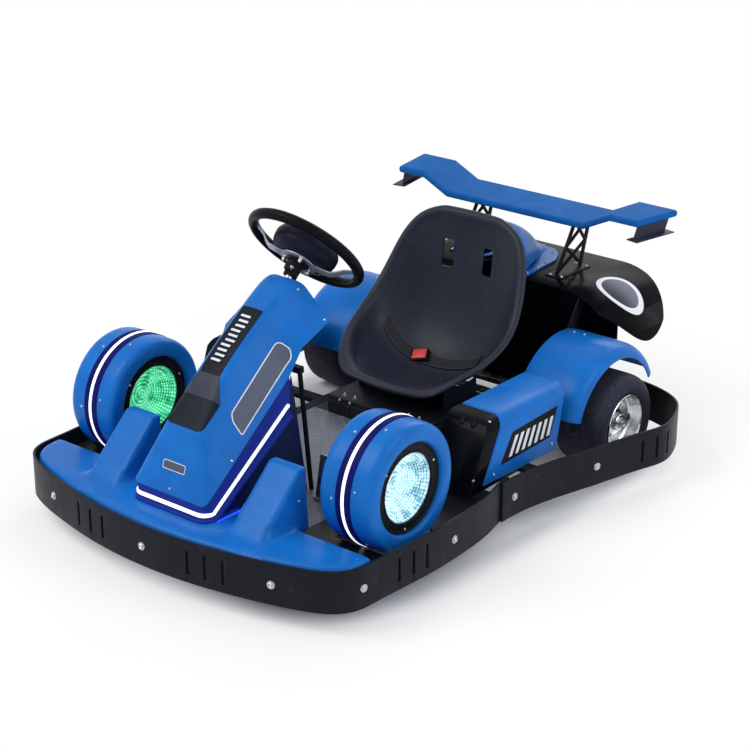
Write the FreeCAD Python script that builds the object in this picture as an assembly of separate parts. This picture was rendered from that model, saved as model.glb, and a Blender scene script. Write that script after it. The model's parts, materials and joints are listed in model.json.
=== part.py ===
"""Electric drift kart: an indoor rental kart with a bumper band, lit drum fairings and a wing.

Frame: X to the driver's left, Y to the rear, Z up, origin on the floor under the middle of the
kart's box.  All sizes are millimetres and degrees.
"""
import FreeCAD, Part
import math
import os

V = FreeCAD.Vector
X_AXIS = V(1, 0, 0)
Y_AXIS = V(0, 1, 0)
Z_AXIS = V(0, 0, 1)

# ---- overall ----------------------------------------------------------------------------------
LENGTH = 1653.0             # bumper nose to the rear deck's edge
WIDTH = 1252.0              # over the rear bumper band
FRONT_WIDTH = 1084.0        # over the front bumper band
FRONT_Y = -LENGTH / 2
REAR_Y = LENGTH / 2
SKIN = 4.0                  # wall of the moulded body panels
SHEET = 3.0                 # wall of the bent sheet parts
RUNNING = 0.05              # radial running clearance of a shaft in its bore
SEAT_GAP = 0.3              # gap between curved faces of neighbouring pieces

# ---- bumper band ------------------------------------------------------------------------------
BAND_LOW = 54.0
BAND_HEIGHT = 105.0
BAND_TOP = BAND_LOW + BAND_HEIGHT
BAND_WALL = 6.0
WAIST_WIDTH = 1020.0        # over the bands where the rear one laps the front one
WAIST_Y = -92.0
BAND_LAP = 26.0
REAR_BAND_TAIL = 136.0      # rear band's end, ahead of the deck's edge

# ---- frame and floor --------------------------------------------------------------------------
RAIL_X = 235.0
RAIL_W = 40.0
RAIL_H = 30.0
RAIL_LOW = 85.0
RAIL_FRONT = 150.0          # rail's end behind the bumper nose
RAIL_REAR = 250.0           # rail's end ahead of the deck's edge
RAIL_TOP = RAIL_LOW + RAIL_H
FLOOR_TOP = RAIL_TOP + SHEET
BAR_W = 40.0
BAR_H = 12.0
SIDE_ARM_Y = 90.0           # arm that carries the rear band ahead of the wheel
BOLT_R = 2.75               # four holes in the floor for a timing transponder
BOLT_SPAN_X = 60.0
BOLT_SPAN_Y = 40.0
BOLT_Y = -30.0

# ---- wheels -----------------------------------------------------------------------------------
REAR_AXLE_FROM_REAR = 385.0
REAR_TYRE_R = 132.0
REAR_TYRE_W = 150.0
REAR_RIM_R = 80.0
REAR_WHEEL_INSET = 111.0    # tyre's outer face inside the band
STUB_R = 12.5
FRONT_AXLE_FROM_NOSE = 394.0
FRONT_TYRE_R = 95.0
FRONT_TYRE_W = 50.0
FRONT_RIM_R = 62.0
FRONT_AXLE_R = 8.0
REAR_AXLE_Y = REAR_Y - REAR_AXLE_FROM_REAR
REAR_TYRE_X1 = WIDTH / 2 - REAR_WHEEL_INSET
REAR_TYRE_X0 = REAR_TYRE_X1 - REAR_TYRE_W
FRONT_AXLE_Y = FRONT_Y + FRONT_AXLE_FROM_NOSE

# ---- fork and steering ------------------------------------------------------------------------
FORK_LEG = 8.0
FORK_GAP = 6.0              # tyre to fork leg
FORK_DEPTH = 44.0
STEM_R = 14.0
STEM_TOP = 424.0
HEAD_R = 24.0
HEAD_LOW = 232.0
HEAD_TOP = 400.0
COLUMN_TILT = 48.0          # column's lean towards the driver, from vertical
WHEEL_CENTRE_Z = 683.0
WHEEL_CENTRE_BACK = 195.0   # steering wheel's centre behind the fork's stem
WHEEL_R = 146.0             # rim's centre line
WHEEL_GRIP_R = 13.0
SHAFT_R = 11.0
SHAFT_LENGTH = 232.0
SPOKE_DROP = 36.0           # hub plate below the rim's middle
SPOKE_T = 4.0
SPOKE_W = 30.0
SPOKE_PLATE_R = 44.0
SPOKE_TURN = 26.0           # spokes stand turned on the column's splines
PAD_R = 72.0
PAD_H = 52.0
BEARING_AT = 176.0          # bearing's middle down the column from the wheel
BEARING_LENGTH = 40.0

# ---- nose and tower ---------------------------------------------------------------------------
NOSE_FRONT = 94.0           # nose's lower front edge behind the bumper nose
NOSE_HALF = 119.0
PLINTH_DEPTH = 46.0         # at the nose's front
PLINTH_SPREAD = 44.0        # how much deeper it is at its rear end
STRIP_DEPTH = 24.0          # light strip's middle below the nose's front edge
STRIP_HEIGHT = 11.0
STRIP_PROUD = 2.0
STRIP_SPREAD = 41.0         # how much deeper the strip lies at its rear end
STRIP_END = 288.0           # its rear end behind the nose's front
NOSE_KNEE = 28.0            # length over which plinth and strip run level before they climb
PLINTH_WALL = 7.0
TOWER_X = 108.0

# ---- drum fairings ----------------------------------------------------------------------------
DRUM_X = 415.0
DRUM_SINK = 16.5            # drum's underside below the rail's top
DRUM_R = 158.0
DRUM_W = 156.0
DRUM_SHOULDER = 26.0
DRUM_MOUTH_R = 112.0
DRUM_RECESS = 12.0
LENS_R = 86.0
BAND_HALF = 22.0
BAND_PROUD = 1.7
LIGHT_HALF = 4.0
DRUM_Y = FRONT_AXLE_Y
DRUM_Z = RAIL_TOP + DRUM_R - DRUM_SINK

# ---- seat -------------------------------------------------------------------------------------
SEAT_WIDTH = 494.0          # over the rim at the driver's hips
SEAT_WALL = 5.0
SEAT_LIP_Y = 64.0           # front lip
SEAT_LIP_Z = 216.0
SEAT_DEPTH = 382.0          # front lip to the top of the back
SEAT_RISE = 386.0           # front lip to the top of the back, upwards
SLOT_X = 66.0
SLOT_W = 32.0
SLOT_H = 76.0
BUCKLE_X = -66.0            # buckle's middle, towards the driver's right
BUCKLE_HALF = 30.0
BATTERY_HALF = 170.0
BATTERY_TOP = 168.0
SEAT_BAR_HALF = 300.0
REAR_BAR_BACK = 322.0       # rear cross bar behind the seat's front lip
SEAT_BAR_W = 25.0
SEAT_BAR_H = 9.0
SEAT_BAR_CLEAR = 3.0        # between a cross bar and the axle plates below it

# ---- side pods and rear body ------------------------------------------------------------------
POD_OUT = 470.0
POD_IN = 340.0
POD_TOP = 308.0
POD_REAR = 218.0
FENDER_R = 208.0
FENDER_OUT_INSET = 35.0     # fender's outer edge inside the tyre's outer face
FENDER_WIDTH = 188.0
FENDER_START = 16.0         # front end above the axle's level
FENDER_SWEEP = 138.0
DECK_TOP = 422.0
DECK_LENGTH = 300.0
DECK_FLAT = 235.0
DECK_CURL_R = 190.0
DECK_CURL_ANGLE = 84.0
BULKHEAD_HALF = 278.0
BULKHEAD_DEPTH = 134.0
DOME_HALF = 92.0
DOME_LENGTH = 296.0
DOME_HEIGHT = 144.0
DOME_AHEAD = 44.0           # dome's front ahead of the deck's front edge
FLANGE_HALF = 108.0

# ---- wing -------------------------------------------------------------------------------------
WING_FRONT = 208.0          # wing's front edge ahead of the deck's edge
WING_CHORD = 157.0
WING_Z = 584.0              # top of the middle section
WING_THICK = 19.0
WING_MID = 231.0
WING_BEND = 314.0
WING_HALF = 433.0           # half span along the rear edge
WING_SWEEP = 30.0           # front corners inside the rear ones
WING_RISE = 40.0
FIN_HEIGHT = 34.0
POST_X = 165.0
POST_AHEAD = 226.0          # foot of the posts' front legs ahead of the deck's edge


def export(name, solids):
    """Write one node: a single solid, or a compound of solids that do not touch."""
    parts = []
    for item in solids if isinstance(solids, (list, tuple)) else [solids]:
        parts.extend(item.Solids)
    shape = parts[0] if len(parts) == 1 else Part.makeCompound(parts)
    if not shape.isValid():
        raise RuntimeError("invalid solid in " + name)
    shape.exportStep("parts/" + name + ".step")


def box(x0, x1, y0, y1, z0, z1):
    """An upright box between two corners."""
    return Part.makeBox(x1 - x0, y1 - y0, z1 - z0, V(x0, y0, z0))


def rod(start, end, radius):
    """A round bar from one point to another."""
    return Part.makeCylinder(radius, (end - start).Length, start, end - start)


def mirrored(shape):
    """The same piece on the other side of the kart."""
    return shape.mirror(V(0, 0, 0), X_AXIS)


def pair(shape):
    """A piece and its mirror image."""
    return [shape, mirrored(shape)]


def side_plate(outline, x0, x1):
    """A plate with an outline of (y, z) points, from x0 to x1."""
    points = [V(x0, y, z) for y, z in outline]
    return Part.Face(Part.makePolygon(points + points[:1])).extrude(V(x1 - x0, 0, 0))


def plan_plate(outline, z0, z1):
    """A plate with an outline of (x, y) points, from z0 to z1."""
    points = [V(x, y, z0) for x, y in outline]
    return Part.Face(Part.makePolygon(points + points[:1])).extrude(V(0, 0, z1 - z0))


def spline(points):
    """A smooth curve through points."""
    curve = Part.BSplineCurve()
    curve.interpolate(points)
    return curve


def offset_points(points, distance):
    """Points of a smooth curve moved to its left by a distance, in plan."""
    curve = spline(points)
    moved = []
    for point in points:
        tangent = curve.tangent(curve.parameter(point))[0]
        moved.append(point + V(-tangent.y, tangent.x, 0).normalize() * distance)
    return moved


def ribbon(points, wall, height):
    """A band of even wall and height that follows a smooth curve, wall to its left."""
    outer = spline(points)
    inner = spline(offset_points(points, wall))
    ends = [Part.makeLine(points[-1], inner.value(inner.LastParameter)),
            Part.makeLine(inner.value(inner.FirstParameter), points[0])]
    wire = Part.Wire(Part.__sortEdges__([outer.toShape(), ends[0], inner.toShape(), ends[1]]))
    return Part.Face(wire).extrude(V(0, 0, height))


def revolve_x(profile, centre):
    """A ring about an axis along X: the profile is (x, radius) points about the centre."""
    points = [V(x, 0, r) for x, r in profile]
    ring = Part.Face(Part.makePolygon(points + points[:1])).revolve(V(0, 0, 0), X_AXIS, 360)
    ring.translate(centre)
    return Part.Solid(ring.Shells[0]) if ring.ShapeType != "Solid" else ring


def polyhedron(faces):
    """A closed solid from flat faces, each a list of corner points."""
    shell = Part.Shell([Part.Face(Part.makePolygon(f + f[:1])) for f in faces])
    solid = Part.Solid(shell)
    if solid.Volume < 0:
        solid.reverse()
    return solid


def largest(shape):
    """The biggest solid that a cut leaves."""
    return max(shape.Solids, key=lambda s: s.Volume)


# ---- bumper -----------------------------------------------------------------------------------
def front_band_half():
    """Outer line of the front band, from the waist's lap to the middle of the nose."""
    half = FRONT_WIDTH / 2
    waist = WAIST_WIDTH / 2 - BAND_WALL - SEAT_GAP
    return [V(waist - 2, WAIST_Y + BAND_LAP, BAND_LOW), V(waist, WAIST_Y, BAND_LOW),
            V(waist + 16, WAIST_Y - 66, BAND_LOW), V(half - 4, WAIST_Y - 205, BAND_LOW),
            V(half, FRONT_Y + 400, BAND_LOW), V(half - 9, FRONT_Y + 218, BAND_LOW),
            V(half - 17, FRONT_Y + 150, BAND_LOW), V(half - 42, FRONT_Y + 112, BAND_LOW),
            V(half - 84, FRONT_Y + 86, BAND_LOW), V(half - 222, FRONT_Y + 42, BAND_LOW),
            V(half - 382, FRONT_Y + 10.5, BAND_LOW), V(0, FRONT_Y, BAND_LOW)]


def rear_band_half():
    """Outer line of the rear band, from its front end at the waist to the middle of the tail."""
    half = WIDTH / 2
    waist = WAIST_WIDTH / 2
    tail = REAR_Y - REAR_BAND_TAIL
    return [V(waist + 3, WAIST_Y - BAND_LAP / 2, BAND_LOW), V(waist + 2, WAIST_Y + 30, BAND_LOW),
            V(half - 88, 105, BAND_LOW), V(half - 56, 225, BAND_LOW),
            V(half - 20, REAR_AXLE_Y - 72, BAND_LOW), V(half, REAR_AXLE_Y + 15, BAND_LOW),
            V(half - 16, tail - 163, BAND_LOW), V(half - 62, tail - 81, BAND_LOW),
            V(half - 132, tail - 38, BAND_LOW), V(half - 250, tail - 14, BAND_LOW),
            V(0, tail, BAND_LOW)]


def full_line(half):
    """A half outline joined to its mirror image, from right to left."""
    return half + [V(-p.x, p.y, p.z) for p in reversed(half[:-1])]


def front_band():
    """Front bumper band."""
    return ribbon(list(reversed(full_line(front_band_half()))), BAND_WALL, BAND_HEIGHT)


def rear_band():
    """Rear bumper band, lapping outside the front one at the waist."""
    return ribbon(full_line(rear_band_half()), BAND_WALL, BAND_HEIGHT)


def inside_front(inset):
    """Plan area inside the front band, closed straight across at the waist."""
    line = spline(offset_points(list(reversed(full_line(front_band_half()))), inset))
    close = Part.makeLine(line.value(line.LastParameter), line.value(line.FirstParameter))
    return Part.Face(Part.Wire([line.toShape(), close]))


def bumper_arms(band_front, band_rear):
    """Flat bars that carry the bands from the frame."""
    low = RAIL_LOW + 8
    high = low + BAR_H
    edge = RAIL_X + RAIL_W / 2
    arms = []
    for y in (FRONT_Y + 190, WAIST_Y - 95):
        arm = box(edge, FRONT_WIDTH / 2 - BAND_WALL / 2, y, y + BAR_W, low, high)
        arms += pair(largest(arm.cut(band_front)))
    side = box(edge, WIDTH / 2 - 80, SIDE_ARM_Y, SIDE_ARM_Y + BAR_W, low, high)
    arms += pair(largest(side.cut(band_rear)))
    arms += pair(largest(box(RAIL_X - RAIL_W / 2, RAIL_X + RAIL_W / 2, FRONT_Y + 5,
                             FRONT_Y + RAIL_FRONT, low, high).cut(band_front)))
    arms += pair(largest(box(RAIL_X - RAIL_W / 2, RAIL_X + RAIL_W / 2, REAR_Y - RAIL_REAR,
                             REAR_Y - REAR_BAND_TAIL, low, high).cut(band_rear)))
    return arms


# ---- frame ------------------------------------------------------------------------------------
def frame_rails():
    """The two main rails."""
    x0 = RAIL_X - RAIL_W / 2
    return pair(box(x0, x0 + RAIL_W, FRONT_Y + RAIL_FRONT, REAR_Y - RAIL_REAR, RAIL_LOW, RAIL_TOP))


def frame_crossmembers():
    """Cross tubes between the rails."""
    x = RAIL_X - RAIL_W / 2
    stations = (FRONT_Y + RAIL_FRONT, -220.0, 40.0, 300.0, REAR_Y - RAIL_REAR - RAIL_W)
    return [box(-x, x, y, y + RAIL_W, RAIL_LOW, RAIL_TOP) for y in stations]


def floor_pan():
    """Aluminium tread-plate floor with the steered wheel's round opening."""
    area = inside_front(BAND_WALL + 8)
    area.translate(V(0, 0, RAIL_TOP - BAND_LOW))
    plate = area.extrude(V(0, 0, SHEET))
    keep = box(-WIDTH, WIDTH, FRONT_AXLE_Y - 150, WAIST_Y, RAIL_LOW, FLOOR_TOP + 1)
    plate = plate.common(keep)
    hole = Part.makeCylinder(FRONT_TYRE_R + 22, 60, V(0, FRONT_AXLE_Y, RAIL_LOW))
    inner = RAIL_X - RAIL_W / 2
    rear = box(-inner, inner, WAIST_Y, SEAT_LIP_Y + 270, RAIL_TOP, FLOOR_TOP)
    wells = pair(drum_cylinder(DRUM_W / 2 + 6, 6))
    holes = [rod(V(x, y, RAIL_LOW), V(x, y, FLOOR_TOP + 1), BOLT_R)
             for x in (-BOLT_SPAN_X / 2, BOLT_SPAN_X / 2)
             for y in (BOLT_Y - BOLT_SPAN_Y / 2, BOLT_Y + BOLT_SPAN_Y / 2)]
    pan = plate.fuse(rear)
    for gap in [hole] + wells + holes:
        pan = pan.cut(gap)
    return pan.removeSplitter()


# ---- wheels -----------------------------------------------------------------------------------
def rear_tyre():
    """Slick kart tyre, left side."""
    h = REAR_TYRE_W / 2
    r = REAR_TYRE_R
    profile = [(-h + 18, REAR_RIM_R), (-h, REAR_RIM_R + 14), (-h, r - 22), (-h + 12, r - 5),
               (-h + 34, r), (h - 34, r), (h - 12, r - 5), (h, r - 22), (h, REAR_RIM_R + 14),
               (h - 18, REAR_RIM_R)]
    return revolve_x(profile, V((REAR_TYRE_X0 + REAR_TYRE_X1) / 2, REAR_AXLE_Y, REAR_TYRE_R))


def rear_hub():
    """Deep polished rim with stepped hub, left side."""
    h = REAR_TYRE_W / 2
    bore = STUB_R + RUNNING
    profile = [(-h + 18, REAR_RIM_R), (h - 4, REAR_RIM_R), (h - 4, REAR_RIM_R - 6),
               (h - 40, REAR_RIM_R - 10), (h - 62, REAR_RIM_R - 22), (h - 62, 40), (h - 34, 36),
               (h - 34, 24), (h - 20, 22), (h - 20, bore), (-h + 18, bore), (-h + 18, 40),
               (-h + 50, 44), (-h + 50, REAR_RIM_R - 12), (-h + 18, REAR_RIM_R - 8)]
    return revolve_x(profile, V((REAR_TYRE_X0 + REAR_TYRE_X1) / 2, REAR_AXLE_Y, REAR_TYRE_R))


def stub_axle():
    """Bolted carrier plate on the rail and the stub that the left wheel turns on."""
    x0 = RAIL_X + RAIL_W / 2
    y = REAR_AXLE_Y
    plate = box(x0, x0 + 10, y - 45, y + 45, RAIL_LOW, REAR_TYRE_R + 32)
    c = SEAT_BAR_CLEAR
    bar = SEAT_LIP_Y + REAR_BAR_BACK
    plate = plate.cut(box(0, WIDTH, bar - c, bar + SEAT_BAR_W + c, BATTERY_TOP - c, WIDTH))
    shaft = rod(V(x0 + 10, y, REAR_TYRE_R), V(REAR_TYRE_X1 - 12, y, REAR_TYRE_R), STUB_R)
    collar = rod(V(x0 + 10, y, REAR_TYRE_R), V(REAR_TYRE_X0 + 12, y, REAR_TYRE_R), STUB_R + 8)
    return plate.fuse([shaft, collar]).removeSplitter()


def front_tyre():
    """Tyre of the steered wheel."""
    h = FRONT_TYRE_W / 2
    r = FRONT_TYRE_R
    profile = [(-h + 4, FRONT_RIM_R), (-h, r - 20), (-h + 8, r - 4), (-h + 16, r), (h - 16, r),
               (h - 8, r - 4), (h, r - 20), (h - 4, FRONT_RIM_R)]
    return revolve_x(profile, V(0, FRONT_AXLE_Y, FRONT_TYRE_R))


def front_hub():
    """Disc hub of the steered wheel."""
    h = FRONT_TYRE_W / 2
    bore = FRONT_AXLE_R + RUNNING
    profile = [(-h + 4, FRONT_RIM_R), (h - 4, FRONT_RIM_R), (h - 8, 40), (h - 8, 24), (h + 1, 22),
               (h + 1, bore), (-h - 1, bore), (-h - 1, 22), (-h + 8, 24), (-h + 8, 40)]
    return revolve_x(profile, V(0, FRONT_AXLE_Y, FRONT_TYRE_R))


# ---- fork -------------------------------------------------------------------------------------
def fork_inner():
    """Half the gap between the fork's legs."""
    return FRONT_TYRE_W / 2 + FORK_GAP


def fork():
    """Fork with its crown and stem."""
    y = FRONT_AXLE_Y
    inner = fork_inner()
    outer = inner + FORK_LEG
    crown_low = 2 * FRONT_TYRE_R + 10
    crown_top = crown_low + 12
    legs = pair(box(inner, outer, y - FORK_DEPTH / 2, y + FORK_DEPTH / 2, FRONT_TYRE_R - 18, crown_top))
    crown = box(-inner, inner, y - FORK_DEPTH / 2, y + FORK_DEPTH / 2, crown_low, crown_top)
    stem = rod(V(0, y, crown_top), V(0, y, STEM_TOP), STEM_R)
    axle_hole = rod(V(-outer - 1, y, FRONT_TYRE_R), V(outer + 1, y, FRONT_TYRE_R), FRONT_AXLE_R)
    return crown.fuse(legs + [stem]).cut(axle_hole).removeSplitter()


def front_axle():
    """Axle bolt with its two nuts."""
    y = FRONT_AXLE_Y
    outer = fork_inner() + FORK_LEG
    bolt = rod(V(-outer - 8, y, FRONT_TYRE_R), V(outer + 8, y, FRONT_TYRE_R), FRONT_AXLE_R)
    nuts = pair(rod(V(outer, y, FRONT_TYRE_R), V(outer + 8, y, FRONT_TYRE_R), 14))
    return bolt.fuse(nuts).removeSplitter()


# ---- tower ------------------------------------------------------------------------------------
def column_axis():
    """Unit vector up the steering column."""
    angle = math.radians(COLUMN_TILT)
    return V(0, math.sin(angle), math.cos(angle))


def wheel_centre():
    """Centre of the steering wheel."""
    return V(0, FRONT_AXLE_Y + WHEEL_CENTRE_BACK, WHEEL_CENTRE_Z)


def nose_line():
    """Lower edge of the nose's side, from its front corner up and back, as (y, z)."""
    front = FRONT_Y + NOSE_FRONT
    return [(front, 204.0), (front + 297, 440.0)]


def tower_sides():
    """Two side plates under the nose."""
    (y0, z0), (y1, z1) = nose_line()
    drop = PLINTH_DEPTH + 6
    outline = [(y0 + 28, FLOOR_TOP), (y0 + 28, z0 - drop + 10), (y1 - 4, z1 - drop), (y1 + 16, z1 - 4),
               (FRONT_AXLE_Y + 66, FLOOR_TOP)]
    return pair(side_plate(outline, TOWER_X, TOWER_X + SHEET))


def head_tube():
    """Steering head: the tube that the fork's stem turns in, with its cross plates."""
    y = FRONT_AXLE_Y
    tube = Part.makeCylinder(HEAD_R, HEAD_TOP - HEAD_LOW, V(0, y, HEAD_LOW))
    plates = [box(-TOWER_X, TOWER_X, y - 34, y + 34, z, z + 6) for z in (HEAD_LOW + 20, HEAD_TOP - 60)]
    bore = Part.makeCylinder(STEM_R + RUNNING, STEM_TOP, V(0, y, 0))
    return tube.fuse(plates).cut(bore).removeSplitter()


def column_bearing():
    """Rear uprights, their cross bar and the bearing that carries the steering column."""
    axis = column_axis()
    middle = wheel_centre() - axis * BEARING_AT
    x = TOWER_X + SHEET
    foot_y = FRONT_AXLE_Y + 72
    top_y = FRONT_AXLE_Y + 26
    bar_z = 446.0
    uprights = pair(rod(V(x + 7, foot_y, FLOOR_TOP), V(x + 7, top_y + 8, bar_z), 6))
    bar = box(-x - 14, x + 14, top_y, top_y + 16, bar_z - 8, bar_z + 8)
    tube = rod(middle - axis * (BEARING_LENGTH / 2), middle + axis * (BEARING_LENGTH / 2), SHAFT_R + 11)
    post = side_plate([(top_y, bar_z), (top_y + 16, bar_z), (middle.y + 10, middle.z - 8),
                       (middle.y - 8, middle.z)], -12, 12)
    hole = rod(middle - axis * 90, middle + axis * 90, SHAFT_R + RUNNING)
    below = box(-WIDTH, WIDTH, -LENGTH, LENGTH, 0, FLOOR_TOP)
    return bar.fuse(uprights + [tube, post]).cut(hole).cut(below).removeSplitter()


def steering_parts():
    """Rim, hub and shaft of the steering wheel, made flat and then tilted into place."""
    rim = Part.makeTorus(WHEEL_R, WHEEL_GRIP_R)
    plate = Part.makeCylinder(SPOKE_PLATE_R, SPOKE_T, V(0, 0, -SPOKE_DROP - SPOKE_T))
    pad = Part.makeCylinder(PAD_R, PAD_H, V(0, 0, -SPOKE_DROP))
    spokes = []
    for angle in (0, 90, 180):
        bend = SPOKE_PLATE_R + 6
        end = WHEEL_R - WHEEL_GRIP_R + 3
        outline = [(20, -SPOKE_DROP - SPOKE_T), (bend, -SPOKE_DROP - SPOKE_T), (end, -3 - SPOKE_T), (end, -3),
                   (bend, -SPOKE_DROP), (20, -SPOKE_DROP)]
        points = [V(x, -SPOKE_W / 2, z) for x, z in outline]
        spoke = Part.Face(Part.makePolygon(points + points[:1])).extrude(V(0, SPOKE_W, 0))
        spoke = spoke.cut(Part.makeTorus(WHEEL_R, WHEEL_GRIP_R))
        spoke = min(spoke.Solids, key=lambda s: s.BoundBox.XMin)
        spoke.rotate(V(0, 0, 0), Z_AXIS, angle + SPOKE_TURN)
        spokes.append(spoke)
    shaft = Part.makeCylinder(SHAFT_R, SHAFT_LENGTH - SPOKE_DROP - SPOKE_T, V(0, 0, -SHAFT_LENGTH))
    hub = plate.fuse([pad] + spokes).removeSplitter()
    placed = []
    for piece in (rim, hub, shaft):
        piece.rotate(V(0, 0, 0), X_AXIS, -COLUMN_TILT)
        piece.translate(wheel_centre())
        placed.append(piece)
    return placed


# ---- nose -------------------------------------------------------------------------------------
def nose_corners(inset, reach):
    """Corners of one side of the nose wedge; inset pulls the skin in, reach opens it below."""
    (y0, z0), (y1, z1) = nose_line()
    i = inset
    ridge = [V(56 - i, y0 + 54 + i * 1.2, 359 - i * 0.2), V(54 - i, y0 + 117 + i, 412 - i),
             V(36 - i, y0 + 144 + i, 470 - i * 0.6), V(37 - i, y0 + 311 + i * 0.5, 588 - i * 1.2),
             V(34 - i, y0 + 398, 648 - i * 1.4)]
    lower = [V(NOSE_HALF - i, y0 + i, z0 - reach)]
    for share in (0.3, 0.55):
        lower.append(V(NOSE_HALF - i, y0 + (y1 - y0 + reach) * share, z0 - reach + (z1 - z0) * share))
    lower += [V(NOSE_HALF - i, y1 + reach, z1 - reach), V(125 - i, y0 + 337 + reach, 503 - reach),
              V(130 - i, y0 + 432 + reach * 2, 545 - i)]
    return ridge, lower


def nose_solid(inset, reach):
    """The nose wedge as one closed solid."""
    ridge, lower = nose_corners(inset, reach)
    back = V(44 - inset, ridge[4].y + 34 + reach * 2, 622 - inset * 1.4)
    sides = []
    for n in range(3):
        sides.append([lower[n], ridge[n], ridge[n + 1]])
        sides.append([lower[n], ridge[n + 1], lower[n + 1]])
    sides += [[lower[3], ridge[3], lower[4]], [lower[4], ridge[3], ridge[4]], [lower[4], ridge[4], lower[5]],
              [lower[5], ridge[4], back]]
    faces = []
    for face in sides:
        faces.append(face)
        faces.append([V(-p.x, p.y, p.z) for p in reversed(face)])
    chain = [lower[0]] + ridge + [back] + lower[::-1]
    for a, b in zip(chain, chain[1:]):
        faces.append([a, b, V(-b.x, b.y, b.z), V(-a.x, a.y, a.z)])
    return polyhedron(faces)


def nose_cowl(column_hole):
    """Faceted nose shell, open below and behind."""
    shell = nose_solid(0, 0).cut(nose_solid(SKIN, 12))
    return largest(shell.cut(column_hole))


def nose_spine():
    """Louvred strip along the nose's ridge."""
    ridge, _ = nose_corners(0, 0)
    lift = 3.0
    line = [(p.y, p.z) for p in ridge[:4]]
    raised = [(y - lift * 0.8, z + lift * 0.6) for y, z in line]
    return side_plate(line + list(reversed(raised)), -30, 30)


def nose_run(depth, spread, end, outset):
    """A line under the nose, as (y, z): level up to the knee, then climbing, a spread deeper at its end."""
    (y0, z0), (y1, z1) = nose_line()
    climb = (z1 - z0) / (y1 - y0)
    end_point = (y0 + end, z0 + end * climb - depth - spread)
    return [(y0 - outset, z0 - depth), (y0 + NOSE_KNEE, z0 - depth), end_point]


def nose_base(upper, lower, outset, wall):
    """A U-shaped strip round the nose's foot, between two lines."""
    (y0, _), (y1, _) = nose_line()
    full = side_plate(upper + lower[::-1], -NOSE_HALF - outset, NOSE_HALF + outset)
    core = box(-NOSE_HALF - outset + wall, NOSE_HALF + outset - wall, y0 - outset + wall, y1 + 50, 0, 700)
    return full.cut(core)


def nose_plinth():
    """The trim that the nose stands on."""
    (y0, _), (y1, _) = nose_line()
    return nose_base(nose_line(), nose_run(PLINTH_DEPTH, PLINTH_SPREAD, y1 - y0, 0), 0, PLINTH_WALL)


def nose_light_strip():
    """The light strip on the plinth's outside."""
    half = STRIP_HEIGHT / 2
    upper = nose_run(STRIP_DEPTH - half, STRIP_SPREAD, STRIP_END, STRIP_PROUD)
    lower = nose_run(STRIP_DEPTH + half, STRIP_SPREAD, STRIP_END, STRIP_PROUD)
    return nose_base(upper, lower, STRIP_PROUD, STRIP_PROUD)


# ---- front deck -------------------------------------------------------------------------------
def front_deck_outer(inset):
    """Deck and its two ramps as one closed solid."""
    area = inside_front(BAND_WALL + 7 + inset)
    low = RAIL_LOW + 8 + BAR_H - inset * 5
    area.translate(V(0, 0, low - BAND_LOW))
    top = 162 - inset
    base = area.extrude(V(0, 0, top - low))
    base = base.common(box(-WIDTH, WIDTH, FRONT_Y, FRONT_Y + 222 - inset, 0, 400))
    edges = [e for e in base.Edges if abs(e.BoundBox.ZMin - top) < 0.01 and abs(e.BoundBox.ZMax - top) < 0.01
             and e.BoundBox.YLength > 60 and e.BoundBox.YMin < FRONT_Y + 60]
    base = base.makeFillet(24 - inset, edges)
    y0 = FRONT_Y + 95
    ramps = []
    for x0, x1 in ((182, 292), (-292, -182)):
        low = FLOOR_TOP + 2 - inset * 3
        outline = [(y0 + inset, low), (y0 + inset, 162 - inset), (y0 + 143 + inset * 0.3, 300 - inset),
                   (y0 + 170 - inset, 300 - inset), (y0 + 170 - inset, low)]
        ramps.append(side_plate(outline, x0 + inset, x1 - inset))
    return base.fuse(ramps)


def front_deck(blocks):
    """Moulded front deck with its ramps, hollow below, cleared of what stands through it."""
    shell = front_deck_outer(0).cut(front_deck_outer(SKIN))
    for block in blocks:
        shell = shell.cut(block)
    return largest(shell)


# ---- drums ------------------------------------------------------------------------------------
def drum_half_profile(inset):
    """Half of the drum's section, from the mouth out to the tread, as (x, radius)."""
    h = DRUM_W / 2 - inset
    s = DRUM_SHOULDER
    r = DRUM_R - inset
    return [(-h - inset + DRUM_RECESS + inset * 0.6, DRUM_MOUTH_R + inset * 0.6),
            (-h, DRUM_MOUTH_R + 8 + inset * 0.4), (-h, r - s + inset),
            (-h + (s - inset) * 0.3, r - (s - inset) * 0.3), (-h + s - inset, r)]


def drum_shell():
    """Round drum fairing, left side: a hollow ring with rounded shoulders."""
    outer = drum_half_profile(0)
    inner = drum_half_profile(SKIN)
    ring = outer + [(-x, r) for x, r in reversed(outer)]
    return revolve_x(ring + [(-x, r) for x, r in inner] + inner[::-1], V(DRUM_X, DRUM_Y, DRUM_Z))


def drum_cylinder(half, clearance):
    """The left drum's cylinder, grown by a clearance."""
    start = V(DRUM_X - half, DRUM_Y, DRUM_Z)
    return rod(start, start + V(2 * half, 0, 0), DRUM_R + clearance)


def drum_ring(half, r0, r1):
    """A plain ring round the drum's middle."""
    return revolve_x([(-half, r0), (-half, r1), (half, r1), (half, r0)], V(DRUM_X, DRUM_Y, DRUM_Z))


def drum_bezels():
    """The rings that hold the lenses, outer and inner face."""
    x = DRUM_W / 2 - DRUM_RECESS
    ring = [(x - 6, LENS_R), (x - 6, DRUM_MOUTH_R - 0.5), (x, DRUM_MOUTH_R - 0.5), (x, LENS_R)]
    centre = V(DRUM_X, DRUM_Y, DRUM_Z)
    return [revolve_x(ring, centre), revolve_x([(-a, b) for a, b in ring], centre)]


def drum_lenses():
    """The lit discs, outer and inner face."""
    x = DRUM_W / 2 - DRUM_RECESS
    discs = []
    for sign in (1, -1):
        start = V(DRUM_X + sign * (x - 12), DRUM_Y, DRUM_Z)
        discs.append(rod(start, start + V(sign * 8, 0, 0), LENS_R - 0.2))
    return discs


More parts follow.
